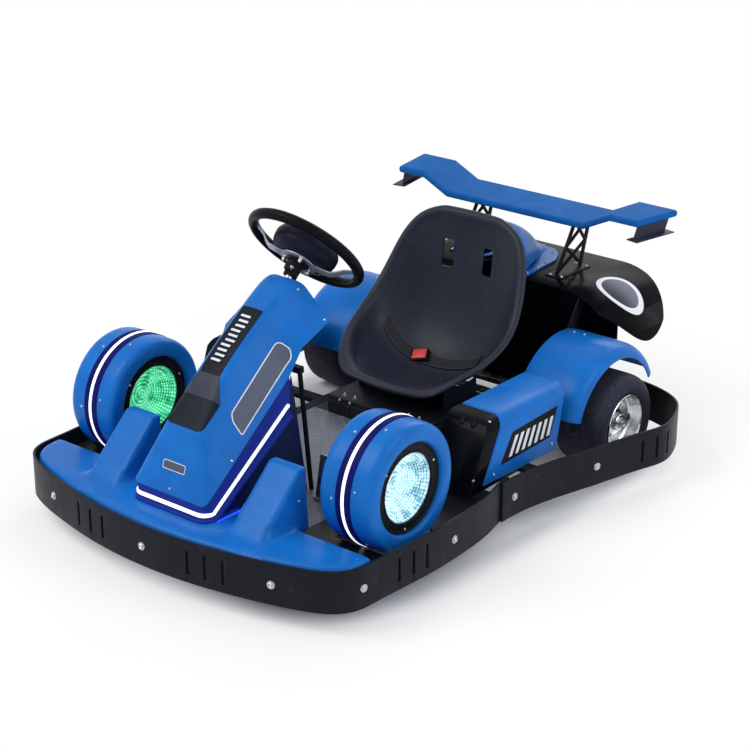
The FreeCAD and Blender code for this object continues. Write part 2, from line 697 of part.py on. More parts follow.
def drum_saddle():
    """Bracket that carries the left drum from the rail."""
    arm = box(RAIL_X + RAIL_W / 2, DRUM_X + 60, DRUM_Y - 30, DRUM_Y + 30, RAIL_LOW, RAIL_TOP)
    arm = arm.cut(drum_cylinder(DRUM_W, 0)).cut(drum_cylinder(BAND_HALF + 0.2, BAND_PROUD + 0.2))
    return largest(arm.cut(drum_cylinder(LIGHT_HALF + 0.2, 2 * BAND_PROUD + 0.2)))


# ---- seat -------------------------------------------------------------------------------------
def seat_stations():
    """Middle point and rim point of each section of the seat, as shares of its main sizes."""
    w = SEAT_WIDTH / 2
    d = SEAT_DEPTH
    h = SEAT_RISE
    table = [((0.0, 0.0), (0.61, 0.02, 0.05)), ((0.13, 0.005), (0.83, 0.13, 0.11)),
             ((0.33, -0.05), (0.955, 0.32, 0.18)), ((0.54, -0.062), (1.0, 0.48, 0.28)),
             ((0.71, 0.02), (0.99, 0.60, 0.39)), ((0.84, 0.21), (0.94, 0.69, 0.50)),
             ((0.905, 0.45), (0.87, 0.77, 0.61)), ((0.955, 0.70), (0.76, 0.875, 0.765)),
             ((0.985, 0.89), (0.59, 0.962, 0.905)), ((0.998, 0.97), (0.355, 0.994, 0.978)),
             ((1.0, 1.0), (0.14, 1.0, 1.0))]
    return [(SEAT_LIP_Y + my * d, SEAT_LIP_Z + mz * h, rx * w, SEAT_LIP_Y + ry * d, SEAT_LIP_Z + rz * h)
            for (my, mz), (rx, ry, rz) in table]


def seat_section(my, mz, rx, ry, rz, wall):
    """A closed crescent: the bowl's inside arc and the same arc a wall further out."""
    middle = V(0, my, mz)
    tip = V(rx, ry, rz)
    left = V(-rx, ry, rz)
    out = V(0, my - ry, mz - rz)
    if out.Length < 0.02 * rx:
        out = V(0, 1, 0.1)
    out.normalize()
    outer_mid = middle + out * wall
    outer_tip = tip + V(wall, 0, 0)
    outer_left = V(-outer_tip.x, outer_tip.y, outer_tip.z)
    if (middle - V(0, ry, rz)).Length < 0.02 * rx:
        corners = [left, tip, tip + out * wall, left + out * wall]
        return Part.makePolygon(corners + corners[:1])
    edges = [Part.Arc(left, middle, tip).toShape(), Part.makeLine(tip, outer_tip),
             Part.Arc(outer_tip, outer_mid, outer_left).toShape(), Part.makeLine(outer_left, left)]
    return Part.Wire(edges)


def seat_shell():
    """Moulded bucket seat with its two harness slots."""
    stations = seat_stations()
    stations[-1] = stations[-1][:1] + (stations[-1][1] + 3,) + stations[-1][2:]
    sections = [seat_section(*station, SEAT_WALL) for station in stations]
    shell = Part.makeLoft(sections, True, False)
    z0 = SEAT_LIP_Z + 0.61 * SEAT_RISE
    for x in (-SLOT_X, SLOT_X):
        shell = shell.cut(box(x - SLOT_W / 2, x + SLOT_W / 2, 340, 480, z0, z0 + SLOT_H))
    return largest(shell)


def seat_brackets(seat):
    """Upright plates on the battery case that carry the seat shell."""
    x = BATTERY_HALF - 30
    plate = box(x, x + 5, SEAT_LIP_Y + 70, SEAT_LIP_Y + 210, BATTERY_TOP, SEAT_LIP_Z + 60)
    return pair(min(plate.cut(seat).Solids, key=lambda s: s.CenterOfMass.z))


def seat_bars():
    """Two bright cross bars behind the battery, on posts that stand on the rails."""
    bars = []
    for y in (SEAT_LIP_Y + 238, SEAT_LIP_Y + REAR_BAR_BACK):
        bar = box(-SEAT_BAR_HALF, SEAT_BAR_HALF, y, y + SEAT_BAR_W, BATTERY_TOP, BATTERY_TOP + SEAT_BAR_H)
        posts = pair(box(RAIL_X - 14, RAIL_X + 14, y + 5, y + 20, RAIL_TOP, BATTERY_TOP))
        bars.append(bar.fuse(posts).removeSplitter())
    return bars


def lap_belt(seat):
    """Two flat belt halves across the seat's pan and the buckle between them."""
    y = SEAT_LIP_Y + 245
    z = SEAT_LIP_Z - 1
    slope = V(0, 35, 26)
    bend = SEAT_WIDTH * 0.54
    reach = SEAT_WIDTH / 2 - 34
    halves = []
    for start, end in ((BUCKLE_X + BUCKLE_HALF + SEAT_GAP, reach), (-reach, BUCKLE_X - BUCKLE_HALF - SEAT_GAP)):
        points = []
        for step in range(7):
            x = start + (end - start) * step / 6
            points.append(V(x, y, z + bend - math.sqrt(bend * bend - x * x)))
        upper = [p + V(0, 0, 3) for p in points]
        wire = Part.makePolygon(points + upper[::-1] + points[:1])
        halves.append(Part.Face(wire).extrude(slope).cut(seat))
    outline = [(y - 5, z - 6), (y + 40, z + 28), (y + 31, z + 42), (y - 14, z + 8)]
    buckle = side_plate(outline, BUCKLE_X - BUCKLE_HALF, BUCKLE_X + BUCKLE_HALF).cut(seat)
    return [largest(h) for h in halves], max(buckle.Solids, key=lambda s: s.CenterOfMass.z)


# ---- side pods --------------------------------------------------------------------------------
def pod_outline(inset, reach):
    """Side view of the pod cover, as (y, z)."""
    return [(-127 - reach, 145 - reach * 2), (-46 - reach, POD_TOP - inset),
            (POD_REAR + reach, POD_TOP - inset), (POD_REAR - 36 + reach, 138 - reach * 2)]


def upper_outer_edge(solid, x, z):
    """The long edges of a solid at an X place and a height."""
    return [e for e in solid.Edges if abs(e.BoundBox.XMin - x) < 0.01 and abs(e.BoundBox.XMax - x) < 0.01
            and abs(e.BoundBox.ZMin - z) < 0.01]


def pod_cover():
    """Left side pod: a bent cover open in front, below and towards the seat."""
    outer = side_plate(pod_outline(0, 0), POD_IN, POD_OUT)
    outer = outer.makeFillet(34, upper_outer_edge(outer, POD_OUT, POD_TOP))
    inner = side_plate(pod_outline(SKIN, 8), POD_IN - 10, POD_OUT - SKIN)
    inner = inner.makeFillet(34 - SKIN, upper_outer_edge(inner, POD_OUT - SKIN, POD_TOP - SKIN))
    return largest(outer.cut(inner))


def intake():
    """Left intake box that fills the pod's mouth, its face leaning back."""
    x0 = POD_IN - 4
    x1 = POD_OUT - SKIN - SEAT_GAP
    top = POD_TOP - SKIN - SEAT_GAP
    t = SKIN
    outline = [(-172, 132), (-118, top - 26), (-100, top - 6), (-84, top), (20, top), (20, 132)]
    body = side_plate(outline, x0, x1)
    body = body.makeFillet(34 - SKIN, upper_outer_edge(body, x1, top))
    inside = [(-166, 120), (-113, top - 26 - t), (-94, top - 30 - t), (30, top - 30 - t), (30, 120)]
    return largest(body.cut(side_plate(inside, x0 + t, x1 - t)))


# ---- rear body --------------------------------------------------------------------------------
def fender_x():
    """Outer and inner X of the fender."""
    outer = REAR_TYRE_X1 - FENDER_OUT_INSET
    return outer - FENDER_WIDTH, outer


def rear_fender():
    """Left rear fender: an arched skin with a broad rounded lip outside."""
    x0, x1 = fender_x()
    r = FENDER_R
    t = SKIN
    outer = [(x0, r), (x1 - 40, r), (x1 - 22, r - 4), (x1 - 8, r - 13), (x1, r - 26), (x1, r - 36)]
    inner = [(x1 - t, r - 36), (x1 - t, r - 27), (x1 - 11, r - 16), (x1 - 24, r - 8), (x1 - 40, r - t),
             (x0, r - t)]
    points = [V(x, -radius, 0) for x, radius in outer + inner]
    face = Part.Face(Part.makePolygon(points + points[:1]))
    arch = face.revolve(V(0, 0, 0), X_AXIS, -FENDER_SWEEP)
    arch.rotate(V(0, 0, 0), X_AXIS, -FENDER_START)
    arch.translate(V(0, REAR_AXLE_Y, REAR_TYRE_R))
    return arch


def deck_section(radius_in, radius_out, y0, y1):
    """One half of the deck's bent sheet between two Y places."""
    angle = math.radians(DECK_CURL_ANGLE)
    cx = DECK_FLAT
    cz = DECK_TOP - DECK_CURL_R

    def at(radius, a):
        return V(cx + radius * math.sin(a), y0, cz + radius * math.cos(a))
    edges = [Part.makeLine(V(-cx, y0, cz + radius_out), V(cx, y0, cz + radius_out)),
             Part.Arc(at(radius_out, 0), at(radius_out, angle / 2), at(radius_out, angle)).toShape(),
             Part.makeLine(at(radius_out, angle), at(radius_in, angle)),
             Part.Arc(at(radius_in, angle), at(radius_in, angle / 2), at(radius_in, 0)).toShape(),
             Part.makeLine(V(cx, y0, cz + radius_in), V(-cx, y0, cz + radius_in))]

    def flip(edge):
        return edge.mirror(V(0, 0, 0), X_AXIS)
    wire = Part.Wire(Part.__sortEdges__(edges + [flip(e) for e in edges[1:4]]))
    return Part.Face(wire).extrude(V(0, y1 - y0, 0))


def deck_side():
    """Side outline of the deck: its curled ends narrow to a rounded tongue."""
    y0 = REAR_Y - DECK_LENGTH
    low = DECK_TOP - DECK_CURL_R + 41
    tongue = [V(0, y0 + 8, low + 96), V(0, y0 + 80, low + 39), V(0, y0 + 128, low + 8), V(0, y0 + 158, low),
              V(0, y0 + 196, low + 5), V(0, y0 + 246, low + 34), V(0, y0 + 280, low + 66),
              V(0, REAR_Y - 4, low + 104)]
    corners = [tongue[-1], V(0, REAR_Y + 5, low + 122), V(0, REAR_Y + 5, DECK_TOP + 5),
               V(0, y0 - 5, DECK_TOP + 5), V(0, y0 - 5, low + 106), tongue[0]]
    lines = [Part.makeLine(a, b) for a, b in zip(corners, corners[1:])]
    return Part.Face(Part.Wire(Part.__sortEdges__([spline(tongue).toShape()] + lines)))


def rear_deck():
    """Bent deck sheet, its ends curling down to a rounded tongue."""
    sheet = deck_section(DECK_CURL_R - SHEET, DECK_CURL_R, REAR_Y - DECK_LENGTH, REAR_Y)
    side = deck_side().extrude(V(2 * WIDTH, 0, 0))
    side.translate(V(-WIDTH, 0, 0))
    sheet = sheet.common(side)
    x = DECK_FLAT + DECK_CURL_R + 4
    r = 120
    corner = box(x - r, x + 5, REAR_Y - r, REAR_Y + 5, 0, 600)
    corner = corner.cut(Part.makeCylinder(r, 600, V(x - r, REAR_Y - r, 0)))
    return largest(sheet.cut(pair(corner)))


def rear_bulkhead():
    """Cover of the drive units under the deck, open below."""
    y0 = REAR_Y - DECK_LENGTH + 8
    h = min(BULKHEAD_HALF, fender_x()[0] - 6)
    y1 = y0 + BULKHEAD_DEPTH
    above = deck_section(DECK_CURL_R - SHEET, DECK_CURL_R + 90, y0 - 10, y1 + 10)
    lining = deck_section(DECK_CURL_R - 2 * SHEET, DECK_CURL_R + 90, y0 - 10, y1 + 10)
    outer = box(-h, h, y0, y1, FLOOR_TOP + 12, DECK_TOP + 5)
    inner = box(-h + SHEET, h - SHEET, y0 + SHEET, y1 - SHEET, 0, DECK_TOP + 5)
    return outer.cut(inner.cut(lining)).cut(above)


def bulkhead_stays():
    """Feet that carry the bulkhead on the rails."""
    y0 = REAR_Y - DECK_LENGTH + 8
    y1 = REAR_Y - RAIL_REAR
    return pair(box(RAIL_X - 12, RAIL_X + 12, y0 + SHEET, y1, RAIL_TOP, DECK_TOP - 2 * SHEET - 1))


def deck_stays():
    """Flat bars that lean from the seat's rear cross bar up to the deck's underside."""
    y0 = REAR_Y - DECK_LENGTH
    foot = SEAT_LIP_Y + REAR_BAR_BACK
    top = BATTERY_TOP + SEAT_BAR_H
    outline = [(foot, top), (foot + SEAT_BAR_W, top), (y0 + 66, DECK_TOP + 5), (y0 + 24, DECK_TOP + 5)]
    bar = side_plate(outline, BULKHEAD_HALF + 4, BULKHEAD_HALF + 4 + SHEET * 2)
    return pair(bar.cut(deck_section(DECK_CURL_R - SHEET, DECK_CURL_R + 90, y0 - 10, y0 + 100)))


def dome_solid(inset):
    """The dome as a closed solid: half ellipses lofted from front to tail."""
    y0 = REAR_Y - DECK_LENGTH - DOME_AHEAD
    stations = [(0, 0.98, 0.96), (0.13, 1.0, 1.0), (0.27, 0.92, 0.955), (0.4, 0.8, 0.85), (0.52, 0.68, 0.73),
                (0.7, 0.5, 0.46), (0.86, 0.33, 0.2), (1.0, 0.2, 0.05)]
    sections = []
    for share, wide, high in stations:
        y = y0 + DOME_LENGTH * share
        rx = DOME_HALF * wide - inset
        rz = max(DOME_HEIGHT * high - inset, 3.0)
        z = DECK_TOP - (inset * 2)
        arc = Part.Arc(V(rx, y, z), V(0, y, z + rz + inset * 2), V(-rx, y, z)).toShape()
        sections.append(Part.Wire([arc, Part.makeLine(V(-rx, y, z), V(rx, y, z))]))
    return Part.makeLoft(sections, True, False)


def headrest_dome():
    """Streamlined dome behind the seat, with its flange on the deck."""
    y0 = REAR_Y - DECK_LENGTH
    y1 = y0 - DOME_AHEAD + DOME_LENGTH
    w = FLANGE_HALF
    flange = plan_plate([(-w, y0), (w, y0), (w * 0.86, y1 - 74), (w * 0.62, y1 - 24), (w * 0.3, y1 + 4),
                         (-w * 0.3, y1 + 4), (-w * 0.62, y1 - 24), (-w * 0.86, y1 - 74)],
                        DECK_TOP, DECK_TOP + SHEET * 2)
    return largest(dome_solid(0).fuse(flange).cut(dome_solid(SKIN)))


# ---- wing -------------------------------------------------------------------------------------
def wing_blade():
    """Wing with raised ends that widen towards the rear."""
    y0 = REAR_Y - WING_FRONT
    top = [(-WING_HALF, WING_Z + WING_RISE), (-WING_BEND, WING_Z + WING_RISE), (-WING_MID, WING_Z),
           (WING_MID, WING_Z), (WING_BEND, WING_Z + WING_RISE), (WING_HALF, WING_Z + WING_RISE)]
    points = [V(x, y0, z) for x, z in top] + [V(x, y0, z - WING_THICK) for x, z in reversed(top)]
    blade = Part.Face(Part.makePolygon(points + points[:1])).extrude(V(0, WING_CHORD, 0))
    edges = [e for e in blade.Edges if e.BoundBox.YLength < 0.01 and e.BoundBox.XLength > 50]
    blade = blade.makeFillet(WING_THICK * 0.4, edges)
    wedge = plan_plate([(WING_HALF - WING_SWEEP, y0), (WING_HALF - WING_SWEEP, y0 - 5), (WING_HALF + 5, y0 - 5),
                        (WING_HALF + 5, y0 + WING_CHORD), (WING_HALF, y0 + WING_CHORD)], 0, WING_Z + 100)
    return largest(blade.cut(pair(wedge)))


def wing_endplates():
    """Two end fins that lean forward, with their outward feet."""
    length = WING_CHORD - 36
    lean = 14.0
    fin = side_plate([(0, 0), (length, 0), (length - lean, -FIN_HEIGHT), (-lean, -FIN_HEIGHT)], 0, SHEET)
    foot = box(-12, 26, -lean - 12, length - 2, -FIN_HEIGHT - SHEET, -FIN_HEIGHT)
    plate = fin.fuse(foot).removeSplitter()
    plate.rotate(V(0, 0, 0), Z_AXIS, -math.degrees(math.atan2(WING_SWEEP, WING_CHORD)))
    plate.translate(V(WING_HALF - WING_SWEEP - 10, REAR_Y - WING_FRONT + 18, WING_Z + WING_RISE - WING_THICK))
    return pair(plate)


def strut(a, b, width, x):
    """A flat bar in the side view from a to b, as (y, z)."""
    start = V(x, *a)
    end = V(x, *b)
    direction = (end - start).normalize()
    across = V(0, -direction.z, direction.y) * (width / 2)
    points = [start + across, end + across, end - across, start - across]
    return Part.Face(Part.makePolygon(points + points[:1])).extrude(V(6, 0, 0))


def wing_posts(blade):
    """Two braced posts that lean back from the deck to the wing."""
    y0 = REAR_Y - POST_AHEAD
    x = POST_X - 3
    low = DECK_TOP + SHEET - 1
    high = WING_Z - WING_THICK + 4

    def front(share):
        return (y0 + 2 + 89 * share, low + (high - low) * share)

    def rear(share):
        return (y0 + 116 + 44 * share, low + (high - low) * share)
    base = box(POST_X - 27, POST_X + 27, y0 - 12, y0 + 128, DECK_TOP, DECK_TOP + SHEET)
    legs = [strut(leg(0), leg(1), 11, x) for leg in (front, rear)]
    braces = []
    for start, end in ((0.04, 0.48), (0.48, 0.93)):
        braces += [strut(front(start), rear(end), 8, x), strut(rear(start), front(end), 8, x)]
    post = base.fuse(legs + braces).cut(blade).cut(box(-WIDTH, WIDTH, 0, REAR_Y, 0, DECK_TOP))
    return pair(largest(post.removeSplitter()))


# ---- pedals and battery -----------------------------------------------------------------------
def pedals():
    """Two foot pedals on the floor beside the tower."""
    y = FRONT_AXLE_Y + 30
    low = FLOOR_TOP
    outline = [(y, low), (y + 60, low), (y + 60, low + 6), (y + 20, low + 6), (y + 36, low + 110),
               (y + 28, low + 112), (y + 8, low + 6), (y, low + 6)]
    return pair(side_plate(outline, 160, 230))


def battery_box():
    """Battery case under the seat."""
    return box(-BATTERY_HALF, BATTERY_HALF, SEAT_LIP_Y - 30, SEAT_LIP_Y + 236, FLOOR_TOP, BATTERY_TOP)


def main():
    """Build every node and write it."""
    os.makedirs("parts", exist_ok=True)
    band_front = front_band()
    band_rear = rear_band()
    export("front_bumper_band", band_front)
    export("rear_bumper_band", band_rear)
    export("bumper_arms", bumper_arms(band_front, band_rear))
    export("frame_rails", frame_rails())
    export("frame_crossmembers", frame_crossmembers())
    export("floor_pan", floor_pan())

    export("rear_tyre_left", rear_tyre())
    export("rear_tyre_right", mirrored(rear_tyre()))
    export("rear_hub_left", rear_hub())
    export("rear_hub_right", mirrored(rear_hub()))
    export("rear_stub_axles", pair(stub_axle()))
    export("front_tyre", front_tyre())
    export("front_hub", front_hub())
    export("front_fork", fork())
    export("front_axle_bolt", front_axle())

    export("tower_side_plates", tower_sides())
    export("steering_head", head_tube())
    export("steering_column_bearing", column_bearing())
    rim, hub, shaft = steering_parts()
    export("steering_wheel_rim", rim)
    export("steering_wheel_hub", hub)
    export("steering_shaft", shaft)

    axis = column_axis()
    column_hole = rod(wheel_centre() - axis * 250, wheel_centre(), SHAFT_R + 7)
    export("nose_cowl", nose_cowl(column_hole))
    export("nose_spine", nose_spine())
    export("nose_plinth", nose_plinth())
    export("nose_light_strip", nose_light_strip())
    nose_block = box(-NOSE_HALF - 3, NOSE_HALF + 3, FRONT_Y + NOSE_FRONT - 3, FRONT_Y + 600, 0, 700)
    rail = box(RAIL_X - RAIL_W / 2 - 1, RAIL_X + RAIL_W / 2 + 1, FRONT_Y + RAIL_FRONT - 1, 0, 0, RAIL_TOP + 1)
    blocks = [nose_block] + pair(drum_cylinder(DRUM_W, 6)) + pair(rail)
    export("front_deck", front_deck(blocks))

    export("drum_shells", pair(drum_shell()))
    export("drum_bands", pair(drum_ring(BAND_HALF, DRUM_R, DRUM_R + BAND_PROUD)))
    export("drum_light_rings", pair(drum_ring(LIGHT_HALF, DRUM_R + BAND_PROUD, DRUM_R + 2 * BAND_PROUD)))
    export("drum_bezels", drum_bezels() + [mirrored(s) for s in drum_bezels()])
    export("drum_lenses", drum_lenses() + [mirrored(s) for s in drum_lenses()])
    export("drum_saddles", pair(drum_saddle()))

    seat = seat_shell()
    export("seat_shell", seat)
    export("seat_brackets", seat_brackets(seat))
    export("seat_cross_bars", seat_bars())
    straps, buckle = lap_belt(seat)
    export("lap_belt", straps)
    export("belt_buckle", buckle)
    export("battery_box", battery_box())
    export("pedals", pedals())

    export("side_pods", pair(pod_cover()))
    export("side_intakes", pair(intake()))
    export("rear_fenders", pair(rear_fender()))
    export("rear_deck", rear_deck())
    export("rear_bulkhead", rear_bulkhead())
    export("bulkhead_stays", bulkhead_stays())
    export("deck_stays", deck_stays())
    export("headrest_dome", headrest_dome())
    blade = wing_blade()
    export("wing_blade", blade)
    export("wing_endplates", wing_endplates())
    export("wing_posts", wing_posts(blade))


main()
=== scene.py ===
"""Looks of an electric drift kart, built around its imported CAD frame."""
import json
import logging
import math
from collections.abc import Callable, Iterable, Sequence
from dataclasses import dataclass, field
from enum import Enum

import bmesh
import bpy
from bmesh.types import BMEdge, BMesh, BMFace, BMVert
from bpy.types import Material, Node, NodeSocket, Object, World
from mathutils import Matrix, Vector
from mathutils.bvhtree import BVHTree

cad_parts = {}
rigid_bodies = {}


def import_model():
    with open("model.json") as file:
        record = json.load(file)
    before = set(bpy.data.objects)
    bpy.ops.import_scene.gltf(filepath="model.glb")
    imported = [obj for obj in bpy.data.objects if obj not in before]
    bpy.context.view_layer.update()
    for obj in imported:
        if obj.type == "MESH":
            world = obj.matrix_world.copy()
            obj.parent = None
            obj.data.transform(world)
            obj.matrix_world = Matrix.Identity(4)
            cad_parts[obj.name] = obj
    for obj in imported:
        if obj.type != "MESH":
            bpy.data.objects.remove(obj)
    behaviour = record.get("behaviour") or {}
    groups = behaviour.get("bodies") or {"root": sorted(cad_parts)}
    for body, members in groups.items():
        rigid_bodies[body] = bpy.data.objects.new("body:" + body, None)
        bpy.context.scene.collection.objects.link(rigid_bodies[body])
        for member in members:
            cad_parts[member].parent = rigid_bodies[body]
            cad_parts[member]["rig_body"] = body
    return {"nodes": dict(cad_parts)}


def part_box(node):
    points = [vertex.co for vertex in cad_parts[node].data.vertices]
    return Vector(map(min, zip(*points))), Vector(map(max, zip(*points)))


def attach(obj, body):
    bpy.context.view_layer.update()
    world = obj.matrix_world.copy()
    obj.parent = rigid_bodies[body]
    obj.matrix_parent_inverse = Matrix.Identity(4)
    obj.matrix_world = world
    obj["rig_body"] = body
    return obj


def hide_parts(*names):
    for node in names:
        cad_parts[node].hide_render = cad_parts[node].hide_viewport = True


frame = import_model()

logging.basicConfig(level=logging.INFO, format="%(name)s: %(message)s")
LOG = logging.getLogger("drift_kart")
Colour = tuple[float, float, float]
Pair = tuple[float, float]
Place = tuple[float, float, float]
SIDES = (1, -1)
MM = 0.001                      # a millimetre in metres
TURN = 6.283                    # a full turn in radians
CORNERS = ((-1, -1), (1, -1), (1, 1), (-1, 1))
ACROSS = Vector((1, 0, 0)).freeze()
REARWARD = Vector((0, 1, 0)).freeze()
UP = Vector((0, 0, 1)).freeze()


# ---- shader toolkit ----------------------------------------------------------------------------
class Value:
    """A number that varies over a surface; arithmetic on it adds Math nodes."""

    def __init__(self, shader: "Shader", socket: NodeSocket) -> None:
        """Wraps a socket of a shader."""
        self.shader = shader
        self.socket = socket

    def _math(self, operation: str, first: "Value | float", second: "Value | float" = 0.0) -> "Value":
        """Adds one Math node and gives its result."""
        node = self.shader.node("ShaderNodeMath", {"operation": operation}, {0: first, 1: second})
        return Value(self.shader, node.outputs[0])

    def __add__(self, other: "Value | float") -> "Value":
        """Sum."""
        return self._math("ADD", self, other)

    __radd__ = __add__

    def __sub__(self, other: "Value | float") -> "Value":
        """Difference."""
        return self._math("SUBTRACT", self, other)

    def __rsub__(self, other: "Value | float") -> "Value":
        """Reflected difference."""
        return self._math("SUBTRACT", other, self)

    def __mul__(self, other: "Value | float") -> "Value":
        """Product."""
        return self._math("MULTIPLY", self, other)

    __rmul__ = __mul__

    def __truediv__(self, other: "Value | float") -> "Value":
        """Quotient."""
        return self._math("DIVIDE", self, other)

    def __pow__(self, power: float) -> "Value":
        """Power."""
        return self._math("POWER", self, power)

    def __abs__(self) -> "Value":
        """Size without sign."""
        return self._math("ABSOLUTE", self)

    def sine(self) -> "Value":
        """Sine of the value in radians."""
        return self._math("SINE", self)

    def fraction(self) -> "Value":
        """Part after the decimal point."""
        return self._math("FRACT", self)

    def most(self, other: "Value | float") -> "Value":
        """Larger of two values."""
        return self._math("MAXIMUM", self, other)

    def step(self, low: float, high: float) -> "Value":
        """Smooth rise from 0 at low to 1 at high.

        Args:
            low: Where the rise starts.
            high: Where it ends.

        Returns:
            The new value.
        """
        range_ = {"Value": self, "From Min": low, "From Max": high}
        node = self.shader.node("ShaderNodeMapRange", {"interpolation_type": "SMOOTHSTEP"}, range_)
        return Value(self.shader, node.outputs[0])


class Shader:
    """One material or world and the nodes that are added to it."""

    def __init__(self, name: str, kind: str = "materials") -> None:
        """Starts an empty material, or world, of that name.

        Args:
            name: Its name.
            kind: "materials" or "worlds".
        """
        self.material: Material | World = getattr(bpy.data, kind).new(name)
        self.material.use_nodes = True
        self.tree = self.material.node_tree
        self.tree.nodes.clear()
        self.place = self.node("ShaderNodeTexCoord").outputs["Object"]

    def node(self, kind: str, settings: dict | None = None, inputs: dict | None = None) -> Node:
        """Adds a node.

        Args:
            kind: The node's type.
            settings: Attributes to set first.
            inputs: Values, sockets or constants by input name or number.

        Returns:
            The new node.
        """
        node = self.tree.nodes.new(kind)
        for key, value in (settings or {}).items():
            setattr(node, key, value)
        for key, value in (inputs or {}).items():
            if isinstance(value, Value):
                value = value.socket
            if isinstance(value, NodeSocket):
                self.tree.links.new(value, node.inputs[key])
            elif isinstance(value, tuple) and node.inputs[key].type == "RGBA":
                node.inputs[key].default_value = (*value, 1.0)
            else:
                node.inputs[key].default_value = value
        return node

    def axes(self) -> tuple[Value, Value, Value]:
        """Place on the kart along x, y and z, in millimetres.

        Returns:
            The three values.
        """
        split = self.node("ShaderNodeSeparateXYZ", None, {0: self.place})
        x, y, z = (Value(self, out) * 1000.0 for out in split.outputs)
        return x, y, z

    def reach(self, axle: Pair) -> Value:
        """Distance from an axle along x, given by its y and z, in millimetres."""
        _, y, z = self.axes()
        return ((y - axle[0]) ** 2 + (z - axle[1]) ** 2) ** 0.5

    def stretched(self, scale: Sequence[float]) -> NodeSocket:
        """Object coordinates scaled along each axis."""
        return self.node("ShaderNodeMapping", None, {"Vector": self.place, "Scale": scale}).outputs[0]

    def noise(self, size: float, detail: float = 2.0, stretch: Sequence[float] = (1, 1, 1)) -> Value:
        """Noise round 0.5, with features of a size in millimetres, stretched along each axis."""
        inputs = {"Vector": self.stretched(stretch), "Scale": 1000.0 / size, "Detail": detail}
        return Value(self, self.node("ShaderNodeTexNoise", None, inputs).outputs["Fac"])

    def cells(self, size: float, feature: str = "F1") -> Value:
        """Distance within cells of a size in millimetres.

        Args:
            size: Size of a cell.
            feature: Which distance, as Blender names it.

        Returns:
            The distance.
        """
        inputs = {"Vector": self.place, "Scale": 1000.0 / size}
        node = self.node("ShaderNodeTexVoronoi", {"feature": feature}, inputs)
        return Value(self, node.outputs["Distance"])

    def mix(self, share: "Value | float", first: "NodeSocket | Colour",
            second: "NodeSocket | Colour") -> NodeSocket:
        """Mixes a share of the second colour into the first."""
        node = self.node("ShaderNodeMix", {"data_type": "RGBA"}, {0: share, 6: first, 7: second})
        return node.outputs[2]

    def seen(self, *rays: str) -> Value:
        """1 for rays of the given kinds, such as "Camera".

        Args:
            rays: The kinds.

        Returns:
            The value, 0 for any other ray.
        """
        path = self.node("ShaderNodeLightPath").outputs
        kinds = [Value(self, path[f"Is {ray} Ray"]) for ray in rays]
        total = kinds[0]
        for other in kinds[1:]:
            total = total.most(other)
        return total

    def surface(self, varying: dict, constant: dict, height: Value | None, depth: float) -> Material:
        """Ends the tree with a Principled shader.

        Args:
            varying: What changes over the surface, by socket name.
            constant: Numbers that are the same all over.
            height: Relief from 0 to 1, or None.
            depth: The relief's depth in millimetres.

        Returns:
            The material.
        """
        inputs = {**constant, **varying}
        if height is not None:
            relief = {"Strength": 1.0, "Distance": depth * MM, "Height": height}
            inputs["Normal"] = self.node("ShaderNodeBump", None, relief).outputs[0]
        shader = self.node("ShaderNodeBsdfPrincipled", None, inputs)
        self.node("ShaderNodeOutputMaterial", None, {"Surface": shader.outputs[0]})
        return self.material


# ---- finishes ----------------------------------------------------------------------------------
@dataclass(frozen=True)
class Finish:
    """A finish with clouding, dust, rubbed spots and a fine grain."""

    name: str
    slot: str
    colour: Colour
    worn: Colour
    roughness: float = 0.4
    spread: float = 0.12
    metallic: float = 0.0
    grain: float = 1.4
    depth: float = 0.06
    specular: float = 0.5
    wear: float = 0.35

    def material(self) -> Material:
        """The finish's material, made once."""
        return bpy.data.materials.get(self.name) or self.make(Shader(self.name))

    def tint(self, shader: Shader) -> NodeSocket:
        """Base colour: clouded, with a few rubbed places.

        Args:
            shader: Where its nodes go.

        Returns:
            The colour.
        """
        cloud = shader.noise(70.0, 4.0).step(0.35, 0.75)
        rubbed = shader.noise(16.0, 6.0).step(0.60, 0.74) * self.wear
        deep = tuple(c * 0.86 for c in self.colour)
        return shader.mix(rubbed, shader.mix(cloud, deep, self.colour), self.worn)

    def polish(self, shader: Shader) -> Value:
        """Roughness: smears, fine lines and dull spots.

        Args:
            shader: Where its nodes go.

        Returns:
            The roughness.
        """
        smear = shader.noise(38.0, 5.0, (1.0, 0.5, 1.6)) - 0.5
        lines = abs(shader.noise(9.0, 3.0, (1.0, 7.0, 1.3)) - 0.5).step(0.02, 0.0)
        return (self.roughness + smear * (2 * self.spread) + lines * 0.12).most(0.04)

    def relief(self, shader: Shader) -> Value:
        """Surface grain with slow waves of the moulding."""
        return shader.noise(self.grain, 3.0) * 0.6 + shader.noise(self.grain * 14.0, 2.0) * 0.8

    def make(self, shader: Shader) -> Material:
        """Builds the material on an empty shader.

        Args:
            shader: Where its nodes go.

        Returns:
            The material.
        """
        varying = {"Base Color": self.tint(shader), "Roughness": self.polish(shader)}
        constant = {"Metallic": self.metallic, "Specular IOR Level": self.specular}
        return shader.surface(varying, constant, self.relief(shader), self.depth)


@dataclass(frozen=True)
class Moulded(Finish):
    """Moulded plastic with a pebbled skin."""

    def relief(self, shader: Shader) -> Value:
        """Small pebbles over slow waves."""
        return shader.cells(self.grain, "SMOOTH_F1") * 0.7 + shader.noise(self.grain * 16.0, 2.0) * 0.5


